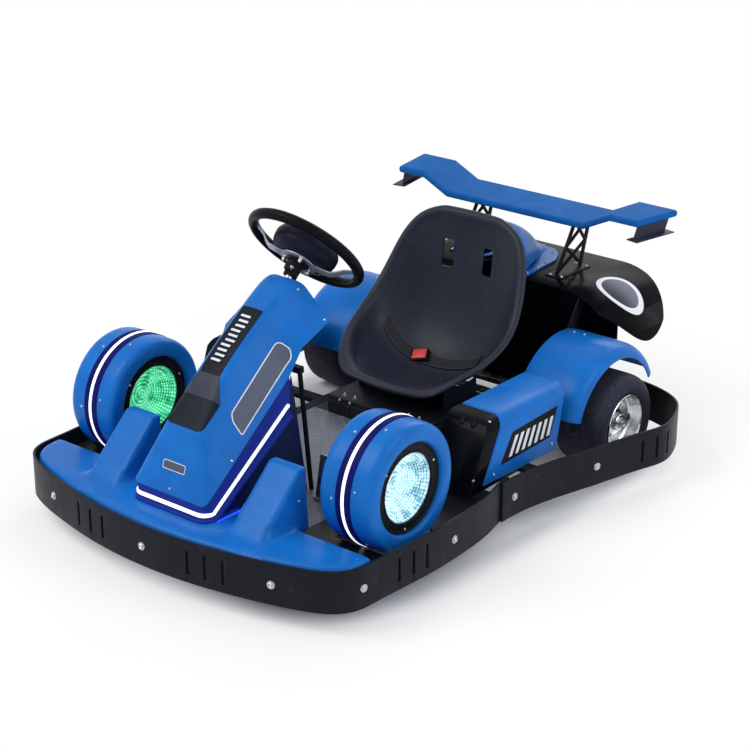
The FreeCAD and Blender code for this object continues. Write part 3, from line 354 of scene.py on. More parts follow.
@dataclass(frozen=True)
class Tread(Finish):
    """Floor plate with raised crossed bars."""

    pitch: float = 26.0
    diagonal: float = 1.414
    half: float = 252.0
    rear: float = 30.0
    # Near-black that paints the shade on the floor beside the rails and under the seat.
    shade_black: Colour = (0.006, 0.007, 0.011)

    def bars(self, shader: Shader) -> Value:
        """Crossed lozenge bars, 1 on a bar.

        Args:
            shader: Where its nodes go.

        Returns:
            The value.
        """
        x, y, _ = shader.axes()
        total = None
        for sign in SIDES:
            along = (x + y * sign) / (self.pitch * self.diagonal) + (0.0 if sign > 0 else 0.5)
            across = (x - y * sign) / (self.pitch * self.diagonal) + 0.25 * sign
            length = abs(along.fraction() - 0.5).step(0.32, 0.22)
            dash = length * abs(across.fraction() - 0.5).step(0.11, 0.05)
            total = dash if total is None else total.most(dash)
        return total

    def inside(self, shader: Shader) -> Value:
        """1 on the bare plate between the rails, 0 beside it and under the seat, where painted shade goes."""
        x, y, _ = shader.axes()
        return abs(x).step(self.half + 3.0, self.half) * y.step(self.rear + 3.0, self.rear)

    def tint(self, shader: Shader) -> NodeSocket:
        """Bright bars on a duller, dirtier plate, and near-black painted shade beside it and under the seat.

        Args:
            shader: Where its nodes go.

        Returns:
            The colour.
        """
        base = Finish.tint(self, shader)
        plate = shader.mix(self.bars(shader) * 0.6, base, tuple(min(1.0, c * 1.7) for c in self.colour))
        dust = shader.noise(60.0, 5.0).step(0.5, 0.8) * 0.4
        # Beside the rails and under the seat the plate gets painted shade, with a little dust.
        return shader.mix(self.inside(shader), shader.mix(dust, self.shade_black, (0.022, 0.023, 0.030)), plate)

    def relief(self, shader: Shader) -> Value:
        """The bars, with a little grain."""
        return self.bars(shader) * self.inside(shader) + shader.noise(2.0, 3.0) * 0.08


@dataclass(frozen=True)
class Spun(Finish):
    """Metal turned about the wheel's axis, with fine rings."""

    centre: Pair = (441.5, 132.0)

    def rings(self, shader: Shader, pitch: float) -> Value:
        """Turning marks round the axis."""
        return (shader.reach(self.centre) * (TURN / pitch)).sine() * 0.5 + 0.5

    def relief(self, shader: Shader) -> Value:
        """Rings and a trace of grain."""
        return self.rings(shader, 0.9) * 0.5 + shader.noise(3.0) * 0.3

    def polish(self, shader: Shader) -> Value:
        """Roughness with dull rings and brake dust."""
        dust = shader.noise(14.0, 5.0).step(0.5, 0.8)
        return self.roughness + self.rings(shader, 7.0) * 0.06 + dust * 0.25


@dataclass(frozen=True)
class Rubber(Finish):
    """Slick tyre: dusty tread with small scuffs and smoother side walls."""

    axle: Pair = (441.5, 132.0)
    reach: float = 132.0

    def tread(self, shader: Shader) -> Value:
        """1 on the running face."""
        return shader.reach(self.axle).step(self.reach - 9.0, self.reach - 2.0)

    def tint(self, shader: Shader) -> NodeSocket:
        """Black, greyed by dust where it runs."""
        dust = shader.noise(9.0, 7.0).step(0.30, 0.80) * (0.35 + self.tread(shader) * 0.35)
        return shader.mix(dust, self.colour, self.worn)

    def relief(self, shader: Shader) -> Value:
        """Scuffs across the tread and rings on the wall.

        Args:
            shader: Where its nodes go.

        Returns:
            The relief.
        """
        rings = (shader.reach(self.axle) * 1.25).sine() * 0.5 + 0.5
        tread = self.tread(shader)
        return rings * (1 - tread) * 0.5 + shader.noise(2.2, 4.0, (0.4, 1, 1)) * (0.4 + tread * 0.6)


@dataclass(frozen=True)
class Woven(Finish):
    """Belt webbing: a tight plain weave with ribs along the belt."""

    pitch: float = 1.6

    def relief(self, shader: Shader) -> Value:
        """Over and under of the yarns.

        Args:
            shader: Where its nodes go.

        Returns:
            The relief.
        """
        x, y, z = shader.axes()
        warp = (y * (TURN / self.pitch)).sine()
        weft = ((x + z) * (TURN / self.pitch)).sine()
        return warp * weft * 0.35 + 0.5 + warp * 0.15


@dataclass(frozen=True)
class Lit(Finish):
    """Frosted light strip that shines by itself, also giving the plinth its glow of painted light."""

    glow: float = 1.0
    lamp_pitch: float = 8.3

    def make(self, shader: Shader) -> Material:
        """A glow that dims a little between its lamps.

        Args:
            shader: Where its nodes go.

        Returns:
            The material.
        """
        x, y, z = shader.axes()
        lamp = ((x + y + z) * (TURN / self.lamp_pitch)).sine() * 0.06 + 0.94
        shine = shader.mix(lamp, self.worn, self.colour)
        varying = {"Base Color": self.tint(shader), "Roughness": self.polish(shader), "Emission Color": shine}
        constant = {"Emission Strength": self.glow, "Specular IOR Level": self.specular}
        return shader.surface(varying, constant, self.relief(shader), self.depth)


@dataclass(frozen=True)
class Beaded(Finish):
    """Lit lens: rings of beads over a bright reflector."""

    centre: Pair = (-432.5, 256.5)
    across: float = 415.0
    pitch: float = 9.0
    bead_turn: float = 52.0
    glow: float = 0.8
    spark: Colour = (1.0, 1.0, 1.0)

    def make(self, shader: Shader) -> Material:
        """Beads that catch the light between darker rings.

        Args:
            shader: Where its nodes go.

        Returns:
            The material.
        """
        x, y, z = shader.axes()
        dy, dz = y - self.centre[0], z - self.centre[1]
        radius = (dy ** 2 + dz ** 2) ** 0.5
        angle = shader.node("ShaderNodeMath", {"operation": "ARCTAN2"}, {0: dy, 1: dz})
        turn = Value(shader, angle.outputs[0])
        depth = abs(abs(x) - self.across)
        ring = (((radius + depth) / self.pitch).fraction() - 0.5) * 2
        bead = ((turn * self.bead_turn).sine() * 0.3 + 0.7) * (1 - ring * ring)
        facet = shader.cells(4.6)
        glitter = shader.noise(7.0, 5.0).step(0.36, 0.70)
        patch = shader.noise(30.0, 3.0).step(0.30, 0.62)
        bright = (bead * 0.50 + glitter * 0.28 + patch * 0.45 + (1 - facet) * 0.1 - 0.1).most(0.0)
        core = shader.mix(bright.step(0.05, 0.80), self.worn, self.colour)
        shine = shader.mix((bright * bead).step(0.35, 0.95), core, self.spark)
        varying = {"Base Color": shine, "Roughness": 0.15 + glitter * 0.25, "Emission Color": shine}
        constant = {"Emission Strength": self.glow, "Specular IOR Level": self.specular}
        return shader.surface(varying, constant, bead * 0.7 + facet * 0.5, self.depth)


@dataclass(frozen=True)
class DeckSheet(Finish):
    """Gloss sheet with a plain oval ring painted on each curled end."""

    oval: Pair = (327.0, 674.0)
    oval_half: Pair = (63.0, 64.0)

    def tint(self, shader: Shader) -> NodeSocket:
        """Black, with a white oval ring round a grey field.

        Args:
            shader: Where its nodes go.

        Returns:
            The colour.
        """
        x, y, _ = shader.axes()
        u = (abs(x) - self.oval[0]) / self.oval_half[0]
        v = (y - self.oval[1]) / self.oval_half[1]
        reach = (u ** 2 + v ** 2) ** 0.5 - u * v * 0.10
        inner = reach.step(0.79, 0.765)
        ring = reach.step(1.0, 0.975) - inner
        grey = shader.mix(v.step(-0.7, 0.7), (0.05, 0.055, 0.075), (0.21, 0.22, 0.26))
        base = shader.mix(inner, Finish.tint(self, shader), grey)
        return shader.mix(ring, base, (0.86, 0.87, 0.9))


# ---- finishes of this kart ---------------------------------------------------------------------
BLUE = Finish("moulded_blue", "blue_shell", (0.006, 0.155, 0.56), (0.03, 0.20, 0.60), 0.30, 0.10, grain=1.8,
              depth=0.05, specular=0.13, wear=0.14)
WING_BLUE = Finish("wing_blue", "blue_shell", (0.010, 0.115, 0.40), (0.04, 0.16, 0.44), 0.46, 0.10,
                   grain=1.2, depth=0.04, specular=0.02, wear=0.2)
INDIGO = Finish("indigo_gloss", "indigo_trim", (0.008, 0.009, 0.125), (0.02, 0.02, 0.16), 0.42, 0.10,
                grain=1.4, depth=0.05, specular=0.03, wear=0.2)
BAND = Moulded("bumper_black", "black_band", (0.011, 0.012, 0.018), (0.040, 0.041, 0.052), 0.36, 0.12,
               grain=2.2, depth=0.07, specular=0.09, wear=0.3)
GLOSS = Finish("gloss_black", "deck_gloss", (0.0035, 0.0040, 0.0065), (0.022, 0.023, 0.030), 0.16, 0.07,
               grain=2.4, depth=0.03, specular=0.05, wear=0.12)
DECK = DeckSheet("painted_deck", "deck_gloss", (0.0035, 0.0035, 0.005), (0.022, 0.022, 0.027), 0.20, 0.07,
                 grain=2.4, depth=0.03, specular=0.025, wear=0.10)
SATIN = Moulded("satin_black", "black_plastic", (0.009, 0.009, 0.013), (0.045, 0.045, 0.052), 0.42, 0.12,
                grain=1.6, depth=0.08, specular=0.07, wear=0.25)
CHARCOAL = Finish("charcoal_panel", "deck_gloss", (0.012, 0.016, 0.024), (0.05, 0.06, 0.08), 0.30, 0.10,
                  grain=1.6, depth=0.05, specular=0.05, wear=0.25)
# Lighter copy of the charcoal: painted light on the middle ridge plate, where it faces up.
CHARCOAL_PAINTED_LIGHT = Finish("charcoal_painted_light", "deck_gloss", (0.040, 0.048, 0.072), (0.09, 0.10, 0.13), 0.30, 0.10,
               grain=1.6, depth=0.05, specular=0.10, wear=0.25)
DECAL_GREY = Finish("decal_grey", "deck_gloss", (0.075, 0.095, 0.150), (0.14, 0.16, 0.22), 0.38, 0.08,
                    grain=3.0, depth=0.02, specular=0.3, wear=0.2)
DECAL_WHITE = Finish("decal_white", "white_light", (0.78, 0.81, 0.88), (0.60, 0.64, 0.72), 0.40, 0.08,
                     grain=3.0, depth=0.02, wear=0.35)
SEAT = Moulded("seat_plastic", "seat_shell", (0.018, 0.022, 0.038), (0.055, 0.060, 0.085), 0.38, 0.10,
               grain=1.5, depth=0.14, specular=0.18, wear=0.30)
FRAME = Finish("frame_powder_coat", "frame_paint", (0.008, 0.010, 0.020), (0.05, 0.045, 0.05), 0.45, 0.14,
               grain=1.0, depth=0.06, specular=0.08, wear=0.45)
SLATE = Finish("slate_coat", "slate_paint", (0.014, 0.022, 0.090), (0.05, 0.06, 0.14), 0.36, 0.12,
               grain=1.2, depth=0.05, specular=0.15, wear=0.35)
CASE = Moulded("case_plastic", "case_black", (0.007, 0.008, 0.012), (0.04, 0.04, 0.05), 0.45, 0.12,
               grain=2.0, depth=0.10, specular=0.25, wear=0.3)
FIN = Finish("fin_paint", "deck_gloss", (0.030, 0.033, 0.060), (0.08, 0.085, 0.12), 0.36, 0.10, grain=1.6,
             depth=0.04, specular=0.12, wear=0.2)
STEEL = Finish("bright_steel", "steel", (0.55, 0.56, 0.58), (0.30, 0.29, 0.28), 0.28, 0.12, metallic=1.0,
               grain=1.0, depth=0.03, wear=0.3)
YOKE = Finish("satin_yoke", "steel", (0.40, 0.45, 0.54), (0.28, 0.31, 0.38), 0.46, 0.10, metallic=0.75,
              grain=1.0, depth=0.03, wear=0.25)
RIM = Spun("polished_rim", "rim_metal", (0.78, 0.80, 0.82), (0.62, 0.63, 0.65), 0.16, 0.04, metallic=1.0,
           depth=0.012, wear=0.10)
FRONT_RIM = Spun("front_rim", "rim_metal", (0.66, 0.67, 0.69), (0.40, 0.40, 0.40), 0.22, 0.05, metallic=1.0,
                 depth=0.03, centre=(-432.5, 95.0))
TYRE = Rubber("slick_tyre", "tyre", (0.020, 0.021, 0.037), (0.055, 0.055, 0.082), 0.58, 0.08, depth=0.22,
              specular=0.12)
FRONT_TYRE = Rubber("front_slick", "tyre", (0.020, 0.020, 0.030), (0.07, 0.07, 0.09), 0.60, 0.08, depth=0.2,
                    specular=0.3, axle=(-432.5, 95.0), reach=95.0)
GRIP = Moulded("grip_rubber", "wheel_grip", (0.005, 0.005, 0.008), (0.03, 0.03, 0.04), 0.32, 0.08,
               grain=1.8, depth=0.12, specular=0.05, wear=0.2)
PAD = Moulded("wheel_pad", "black_plastic", (0.010, 0.011, 0.026), (0.035, 0.032, 0.060), 0.34, 0.08,
              grain=1.3, depth=0.12, specular=0.08, wear=0.25)
PLATE = Tread("tread_floor", "tread_plate", (0.16, 0.17, 0.21), (0.07, 0.075, 0.10), 0.38, 0.12,
              metallic=0.35, depth=1.1, specular=0.3, wear=0.6)
BELT = Woven("belt_webbing", "belt", (0.008, 0.009, 0.014), (0.04, 0.04, 0.055), 0.66, 0.08, depth=0.25,
             specular=0.3, wear=0.3)
HEM = Woven("belt_hem", "belt", (0.035, 0.037, 0.050), (0.06, 0.06, 0.075), 0.62, 0.08, depth=0.2, wear=0.3)
RED = Finish("buckle_red", "red_plastic", (0.66, 0.030, 0.018), (0.74, 0.16, 0.12), 0.34, 0.08, grain=1.4,
             depth=0.05, wear=0.25)
STRIP = Lit("light_strip", "white_light", (0.92, 0.96, 1.0), (0.62, 0.74, 1.0), 0.45, 0.08, grain=1.2,
            depth=0.05, glow=1.1)
# The plinth is no lamp: its blue glow is painted light from the light strip beside it.
COVE_PAINTED_GLOW = Lit("cove_painted_glow", "indigo_trim", (0.012, 0.025, 0.20), (0.008, 0.016, 0.15), 0.42, 0.10, depth=0.05,
           specular=0.03, wear=0.2, glow=0.45)
GLOW = Lit("blue_glow", "white_light", (0.01, 0.03, 1.0), (0.01, 0.02, 0.8), 0.40, 0.08, glow=5.0)
LENS_WHITE = Beaded("lens_white", "lens", (0.48, 0.76, 0.82), (0.06, 0.20, 0.30), glow=0.50, specular=0.4,
                    depth=0.6)
LENS_GREEN = Beaded("lens_green", "lens", (0.04, 0.62, 0.27), (0.006, 0.12, 0.05), glow=0.75,
                    spark=(0.60, 1.0, 0.86), specular=0.4, depth=0.6)


# ---- mesh toolkit ------------------------------------------------------------------------------
def mm(*values: float) -> Vector:
    """A place or size given in millimetres, in metres."""
    return Vector(values) * MM


def side_name(sign: int) -> str:
    """Name of the left side, 1, or the right side, -1."""
    return "left" if sign > 0 else "right"


def from_straight_up(degrees: float) -> Vector:
    """Direction square to the X axis, turned from straight up towards the rear."""
    turn = math.radians(degrees)
    return Vector((0.0, math.sin(turn), math.cos(turn)))


def basis(first: Vector, second: Vector, third: Vector) -> Matrix:
    """Turn that takes the axes to three directions."""
    return Matrix((first, second, third)).transposed().to_4x4()


def on_side(outline: Sequence[Pair], sign: int) -> list[Pair]:
    """An outline drawn for the left side, or mirrored for the right one."""
    return list(outline) if sign > 0 else [(-a, b) for a, b in reversed(outline)]


def whole(bm: BMesh) -> list[BMVert | BMEdge | BMFace]:
    """All that a mesh is made of."""
    return bm.verts[:] + bm.edges[:] + bm.faces[:]


def from_node(node: str) -> BMesh:
    """A CAD node's shape with its flat faces whole again.

    Args:
        node: The CAD node.

    Returns:
        A mesh to be rounded and placed.
    """
    bm = bmesh.new()
    bm.from_mesh(frame["nodes"][node].data)
    bmesh.ops.remove_doubles(bm, verts=bm.verts[:], dist=2e-5)
    bmesh.ops.dissolve_limit(bm, angle_limit=math.radians(0.5), verts=bm.verts[:], edges=bm.edges[:])
    return bm


def surface_of(thing: str | Object) -> BVHTree:
    """Surface of a CAD node, given by name, or of a piece, to lay things on.

    Args:
        thing: A CAD node's name, or a piece.

    Returns:
        Its faces, to be searched.
    """
    bm = from_node(thing) if isinstance(thing, str) else bmesh.new()
    if not isinstance(thing, str):
        bm.from_mesh(thing.data)
    tree = BVHTree.FromBMesh(bm)
    bm.free()
    return tree


def round_off(bm: BMesh, parts: Sequence[BMEdge | BMVert], reach: float, segments: int = 3,
              affect: str = "EDGES") -> None:
    """Bevels edges or corners ("VERTICES") to a round of some segments, with a reach in millimetres."""
    bmesh.ops.bevel(bm, geom=parts, offset=reach * MM, offset_type="OFFSET", segments=segments, profile=0.5,
                    material=-1, affect=affect, clamp_overlap=True)


def relax(bm: BMesh, verts: Sequence[BMVert], times: int) -> None:
    """Draws vertices towards their neighbours, again and again."""
    for _ in range(times):
        bmesh.ops.smooth_vert(bm, verts=verts, factor=0.5, use_axis_x=True, use_axis_y=True, use_axis_z=True)


def bridge(bm: BMesh, rows: Sequence[Sequence[Vector]]) -> None:
    """Skins the space between rows of points, each joined to the next.

    Args:
        bm: The mesh it joins.
        rows: The rows, of points in metres.
    """
    lines = []
    for row in rows:
        verts = [bm.verts.new(point) for point in row]
        lines.append([bm.edges.new(pair) for pair in zip(verts, verts[1:])])
    for near, far in zip(lines, lines[1:]):
        bmesh.ops.bridge_loops(bm, edges=near + far)


def orient(bm: BMesh, measure: Callable[[BMFace], float]) -> None:
    """Makes the faces agree, and turns them all round where the measure's sum over them is negative.

    Args:
        bm: The mesh.
        measure: What a face adds to the sum.
    """
    bmesh.ops.recalc_face_normals(bm, faces=bm.faces[:])
    if sum(measure(face) for face in bm.faces) < 0:
        bmesh.ops.reverse_faces(bm, faces=bm.faces[:])


def soften(bm: BMesh, width: float, segments: int = 3, sharp: float = 32.0) -> None:
    """Rounds the edges sharper than an angle in degrees, with a reach in millimetres."""
    edges = [e for e in bm.edges if e.is_manifold and e.calc_face_angle(0.0) > math.radians(sharp)]
    round_off(bm, edges, width, segments)


def prism(bm: BMesh, outline: Iterable[Vector], push: Vector) -> list[BMVert]:
    """A straight-sided block.

    Args:
        bm: The mesh it joins.
        outline: Its corners in metres.
        push: How far the outline is pushed.

    Returns:
        All its corners.
    """
    base = [bm.verts.new(p) for p in outline]
    made = bmesh.ops.extrude_face_region(bm, geom=[bm.faces.new(base)])
    far = [g for g in made["geom"] if isinstance(g, BMVert)]
    bmesh.ops.translate(bm, verts=far, vec=push)
    return base + far


def block(bm: BMesh, low: Vector, high: Vector) -> list[BMVert]:
    """A box between two corners.

    Args:
        bm: The mesh it joins.
        low: Its lowest corner in metres.
        high: Its highest corner.

    Returns:
        Its corners.
    """
    size = high - low
    place = Matrix.Translation((low + high) / 2) @ Matrix.Diagonal((*size, 1.0))
    return bmesh.ops.create_cube(bm, size=1.0, matrix=place)["verts"]


def lathe(bm: BMesh, profile: Sequence[Pair], centre: Vector, steps: int = 96, sweep: float = 360.0,
          start: float = 0.0, closed: bool = True) -> None:
    """Turns a profile about an axis that runs along X.

    Args:
        bm: The mesh it joins.
        profile: Points as millimetres along the axis and from it.
        centre: A point of the axis in metres.
        steps: Faces round it.
        sweep: Degrees it turns through.
        start: Degrees from straight up, towards the rear, where it starts.
        closed: Whether the profile's ends join.
    """
    out = from_straight_up(start)
    points = [bm.verts.new(centre + Vector((a * MM, 0, 0)) + out * (r * MM)) for a, r in profile]
    pairs = list(zip(points, points[1:] + points[:1])) if closed else list(zip(points, points[1:]))
    edges = [bm.edges.new(pair) for pair in pairs]
    full = sweep >= 360.0
    bmesh.ops.spin(bm, geom=points + edges, cent=centre, axis=(-1, 0, 0), dvec=(0, 0, 0),
                   angle=math.radians(sweep), steps=steps, use_merge=full, use_duplicate=False)
    bmesh.ops.remove_doubles(bm, verts=bm.verts[:], dist=1e-6)
    if not full:
        bmesh.ops.holes_fill(bm, edges=[e for e in bm.edges if e.is_boundary], sides=0)


def rod(bm: BMesh, start: Vector, end: Vector, radius: float, far_radius: float | None = None,
        segments: int = 20) -> list[BMVert]:
    """A round bar between two points.

    Args:
        bm: The mesh it joins.
        start: First end in metres.
        end: Other end.
        radius: Radius in millimetres.
        far_radius: Radius at the other end, where it differs.
        segments: Faces round it.

    Returns:
        Its vertices.
    """
    line = end - start
    turn = line.to_track_quat("Z", "Y").to_matrix().to_4x4()
    far_radius = radius if far_radius is None else far_radius
    return bmesh.ops.create_cone(bm, cap_ends=True, cap_tris=False, segments=segments, radius1=radius * MM,
                                 radius2=far_radius * MM, depth=line.length,
                                 matrix=Matrix.Translation((start + end) / 2) @ turn)["verts"]


def sweep(bm: BMesh, stations: Sequence[Matrix], section: Sequence[Pair]) -> None:
    """Pushes a section along a path.

    Args:
        bm: The mesh it joins.
        stations: Where the section stands in turn; its two directions are their second and third axes.
        section: Its corners along those axes, in millimetres.
    """
    face = bm.faces.new([bm.verts.new(stations[0] @ mm(0, a, b)) for a, b in section])
    for near, far in zip(stations, stations[1:]):
        made = bmesh.ops.extrude_face_region(bm, geom=[face])["geom"]
        face = next(g for g in made if isinstance(g, BMFace))
        moved = [g for g in made if isinstance(g, BMVert)]
        bmesh.ops.transform(bm, matrix=far @ near.inverted(), verts=moved)


def stand(at: Vector, along: Vector, out: Vector, scale: Sequence[float] = (1, 1, 1)) -> Matrix:
    """A station of a path.

    Args:
        at: Its place in metres.
        along: The path's direction there.
        out: Roughly the section's first direction.
        scale: Sizes along the path and of the section.

    Returns:
        The station's matrix.
    """
    up = along.cross(out).normalized()
    out = up.cross(along).normalized()
    turn = basis(along.normalized(), out, up)
    return Matrix.Translation(at) @ turn @ Matrix.Diagonal((*scale, 1.0))


def place(bm: BMesh, name: str, body: str, finishes: Finish | Sequence[Finish], sharp: float = 32.0,
          outward: bool = True, replaced: Sequence[str] = ()) -> Object:
    """Makes a finished piece of a mesh.

    Args:
        bm: The mesh, which is used up.
        name: The piece's name.
        body: The CAD body it rides on.
        finishes: Its finish, or one for each material number.
        sharp: Edges above this angle stay crisp.
        outward: Whether doubles are merged and faces turned outwards.
        replaced: CAD nodes it stands for.

    Returns:
        The piece.
    """
    if outward:
        bmesh.ops.remove_doubles(bm, verts=bm.verts[:], dist=2e-6)
        bmesh.ops.recalc_face_normals(bm, faces=bm.faces[:])
    mesh = bpy.data.meshes.new(name)
    bm.to_mesh(mesh)
    bm.free()
    finishes = [finishes] if isinstance(finishes, Finish) else list(finishes)
    for finish in finishes:
        mesh.materials.append(finish.material())
    mesh.shade_smooth()
    mesh.set_sharp_from_angle(angle=math.radians(sharp))
    piece = bpy.data.objects.new(name, mesh)
    bpy.context.scene.collection.objects.link(piece)
    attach(piece, body)
    if replaced:
        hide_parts(*replaced)
    LOG.info("%s: %d faces on %s", name, len(mesh.polygons), body)
    return piece


def bake_modifiers(piece: Object) -> None:
    """Puts the result of a piece's modifiers in its mesh.

    Args:
        piece: The piece.
    """
    bpy.context.view_layer.update()
    seen = piece.evaluated_get(bpy.context.evaluated_depsgraph_get())
    mesh = bpy.data.meshes.new_from_object(seen)
    old = piece.data
    piece.modifiers.clear()
    piece.data = mesh
    bpy.data.meshes.remove(old)
    mesh.name = piece.name


def thicken(piece: Object, wall: float, crease: float = 0.0) -> None:
    """Gives a skin its wall, inwards, and smooths it by two subdivisions.

    Args:
        piece: The skin.
        wall: Its thickness in millimetres.
        crease: How sharp its rim's edges stay, from 0 to 1.
    """
    thick = piece.modifiers.new("wall", "SOLIDIFY")
    thick.thickness = wall * MM
    thick.offset = -1.0
    thick.edge_crease_inner = thick.edge_crease_outer = thick.edge_crease_rim = crease
    smooth = piece.modifiers.new("smooth", "SUBSURF")
    smooth.levels = smooth.render_levels = 2
    bake_modifiers(piece)


def carve(piece: Object, cutter: BMesh, sharp: float = 32.0) -> None:
    """Cuts a closed mesh out of a piece.

    Args:
        piece: The piece that is cut.
        cutter: The mesh that is taken away, which is used up.
        sharp: Edges above this angle stay crisp.
    """
    bmesh.ops.recalc_face_normals(cutter, faces=cutter.faces[:])
    mesh = bpy.data.meshes.new("cutter")
    cutter.to_mesh(mesh)
    cutter.free()
    tool = bpy.data.objects.new("cutter", mesh)
    bpy.context.scene.collection.objects.link(tool)
    cut = piece.modifiers.new("cut", "BOOLEAN")
    cut.object = tool
    cut.operation = "DIFFERENCE"
    cut.solver = "EXACT"
    bake_modifiers(piece)
    bpy.data.objects.remove(tool)
    bpy.data.meshes.remove(mesh)
    piece.data.shade_smooth()
    piece.data.set_sharp_from_angle(angle=math.radians(sharp))


def dress(node: str, finish: Finish, rounding: float = 0.0, sharp: float = 32.0) -> Object:
    """Gives a CAD node its finish, on a copy with rounded edges where it has any.

    Args:
        node: The CAD node.
        finish: Its finish.
        rounding: Reach of the rounding in millimetres, or 0 to keep the node itself.
        sharp: Least angle of an edge that is rounded.

    Returns:
        The piece that shows.
    """
    if rounding:
        bm = from_node(node)
        soften(bm, rounding, sharp=sharp)
        body = frame["nodes"][node]["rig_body"]
        return place(bm, f"{node}_skin", body, finish, replaced=[node])
    piece = frame["nodes"][node]
    piece.data.materials.clear()
    piece.data.materials.append(finish.material())
    LOG.info("%s: dressed as it is", node)
    return piece


@dataclass
class Facet:
    """A flat place with two directions, on which outlines are drawn in millimetres."""

    origin: Vector
    across: Vector
    up: Vector

    def __post_init__(self) -> None:
        """Makes the directions square to each other."""
        self.across = self.across.normalized()
        self.facing = self.across.cross(self.up).normalized()
        self.up = self.facing.cross(self.across)

    def point(self, across: float, up: float, lift: float = 0.0) -> Vector:
        """A point of the facet, lifted off it."""
        return self.origin + (self.across * across + self.up * up + self.facing * lift) * MM

    def mirrored(self) -> "Facet":
        """The same place on the kart's other side, seen from outside."""
        flip = Matrix.Diagonal((-1.0, 1.0, 1.0))
        return Facet(flip @ self.origin, -(flip @ self.across), flip @ self.up)


@dataclass
class Sticker:
    """A thin sheet laid on the bodywork, with a border of another colour where it has one."""

    name: str
    facet: Facet
    outline: Sequence[Pair]
    finish: Finish
    border: float = 0.0
    edge: Finish | None = None
    rounding: float = 0.0
    lift: float = 0.7
    step: float = 14.0
    thick: float = 0.5

    def lay(self, surface: BVHTree) -> Object:
        """Cuts the sheet, drops it on the surface and gives it its thickness.

        Args:
            surface: What it lies on.

        Returns:
            The piece.
        """
        bm = bmesh.new()
        face = bm.faces.new([bm.verts.new(self.facet.point(a, b)) for a, b in self.outline])
        if self.rounding:
            round_off(bm, bm.verts[:], self.rounding, 5, "VERTICES")
        if self.border:
            bm.normal_update()
            ring = bmesh.ops.inset_region(bm, faces=bm.faces[:], thickness=self.border * MM,
                                          use_even_offset=True, use_boundary=True)
            for face in ring["faces"]:
                face.material_index = 1
        spans = [[(v.co - self.facet.origin).dot(axis) * 1000 for v in bm.verts]
                 for axis in (self.facet.across, self.facet.up)]
        for axis, span in zip((self.facet.across, self.facet.up), spans):
            for number in range(1, int((max(span) - min(span)) / self.step) + 1):
                where = self.facet.origin + axis * ((min(span) + number * self.step) * MM)
                bmesh.ops.bisect_plane(bm, geom=whole(bm), plane_co=where, plane_no=axis, dist=1e-6)
        for vert in bm.verts:
            hit = surface.ray_cast(vert.co + self.facet.facing * 0.06, -self.facet.facing, 0.12)[0]
            if hit is not None:
                vert.co = hit
            vert.co += self.facet.facing * (self.lift * MM)
        made = bmesh.ops.extrude_face_region(bm, geom=bm.faces[:])
        far = [g for g in made["geom"] if isinstance(g, BMVert)]
        bmesh.ops.translate(bm, verts=far, vec=-self.facet.facing * (self.thick * MM))
        finishes = [self.finish, self.edge] if self.edge else [self.finish]
        return place(bm, self.name, "chassis", finishes, sharp=40.0)


@dataclass
class Fasteners:
    """Steel screws and bolts of one body, gathered in one piece."""

    name: str
    body: str = "chassis"
    bm: BMesh = field(default_factory=bmesh.new)

    def screw(self, at: Vector, facing: Vector, radius: float = 3.4, washer: float = 0.0,
              height: float = 0.55) -> None:
        """Adds a button-head screw with a hexagon socket.

        Args:
            at: Where it sits, in metres.
            facing: The way its head looks.
            radius: Head's radius in millimetres.
            washer: Washer's radius, or 0 for none.
            height: Head's height as a share of its radius.
        """
        way = facing.normalized() * MM
        foot = at
        if washer:
            rod(self.bm, foot - way * 0.5, foot + way * 1.1, washer, washer * 0.94, 24)
            foot = foot + way * 1.1
        top = foot + way * (radius * height)
        rod(self.bm, foot - way * 0.5, foot + way * (radius * height * 0.45), radius, radius * 0.97, 18)
        rod(self.bm, foot + way * (radius * height * 0.45), top, radius * 0.96, radius * 0.68, 18)
        self.bm.normal_update()
        crown = max((f for f in self.bm.faces if (f.calc_center_median() - top).length < 1e-5),
                    key=lambda f: f.normal.dot(facing))
        bmesh.ops.inset_region(self.bm, faces=[crown], thickness=radius * 0.24 * MM)
        bmesh.ops.translate(self.bm, verts=list(crown.verts), vec=-way * (radius * 0.3))

    def finish_up(self) -> Object:
        """Makes the piece."""
        return place(self.bm, self.name, self.body, STEEL, outward=False)


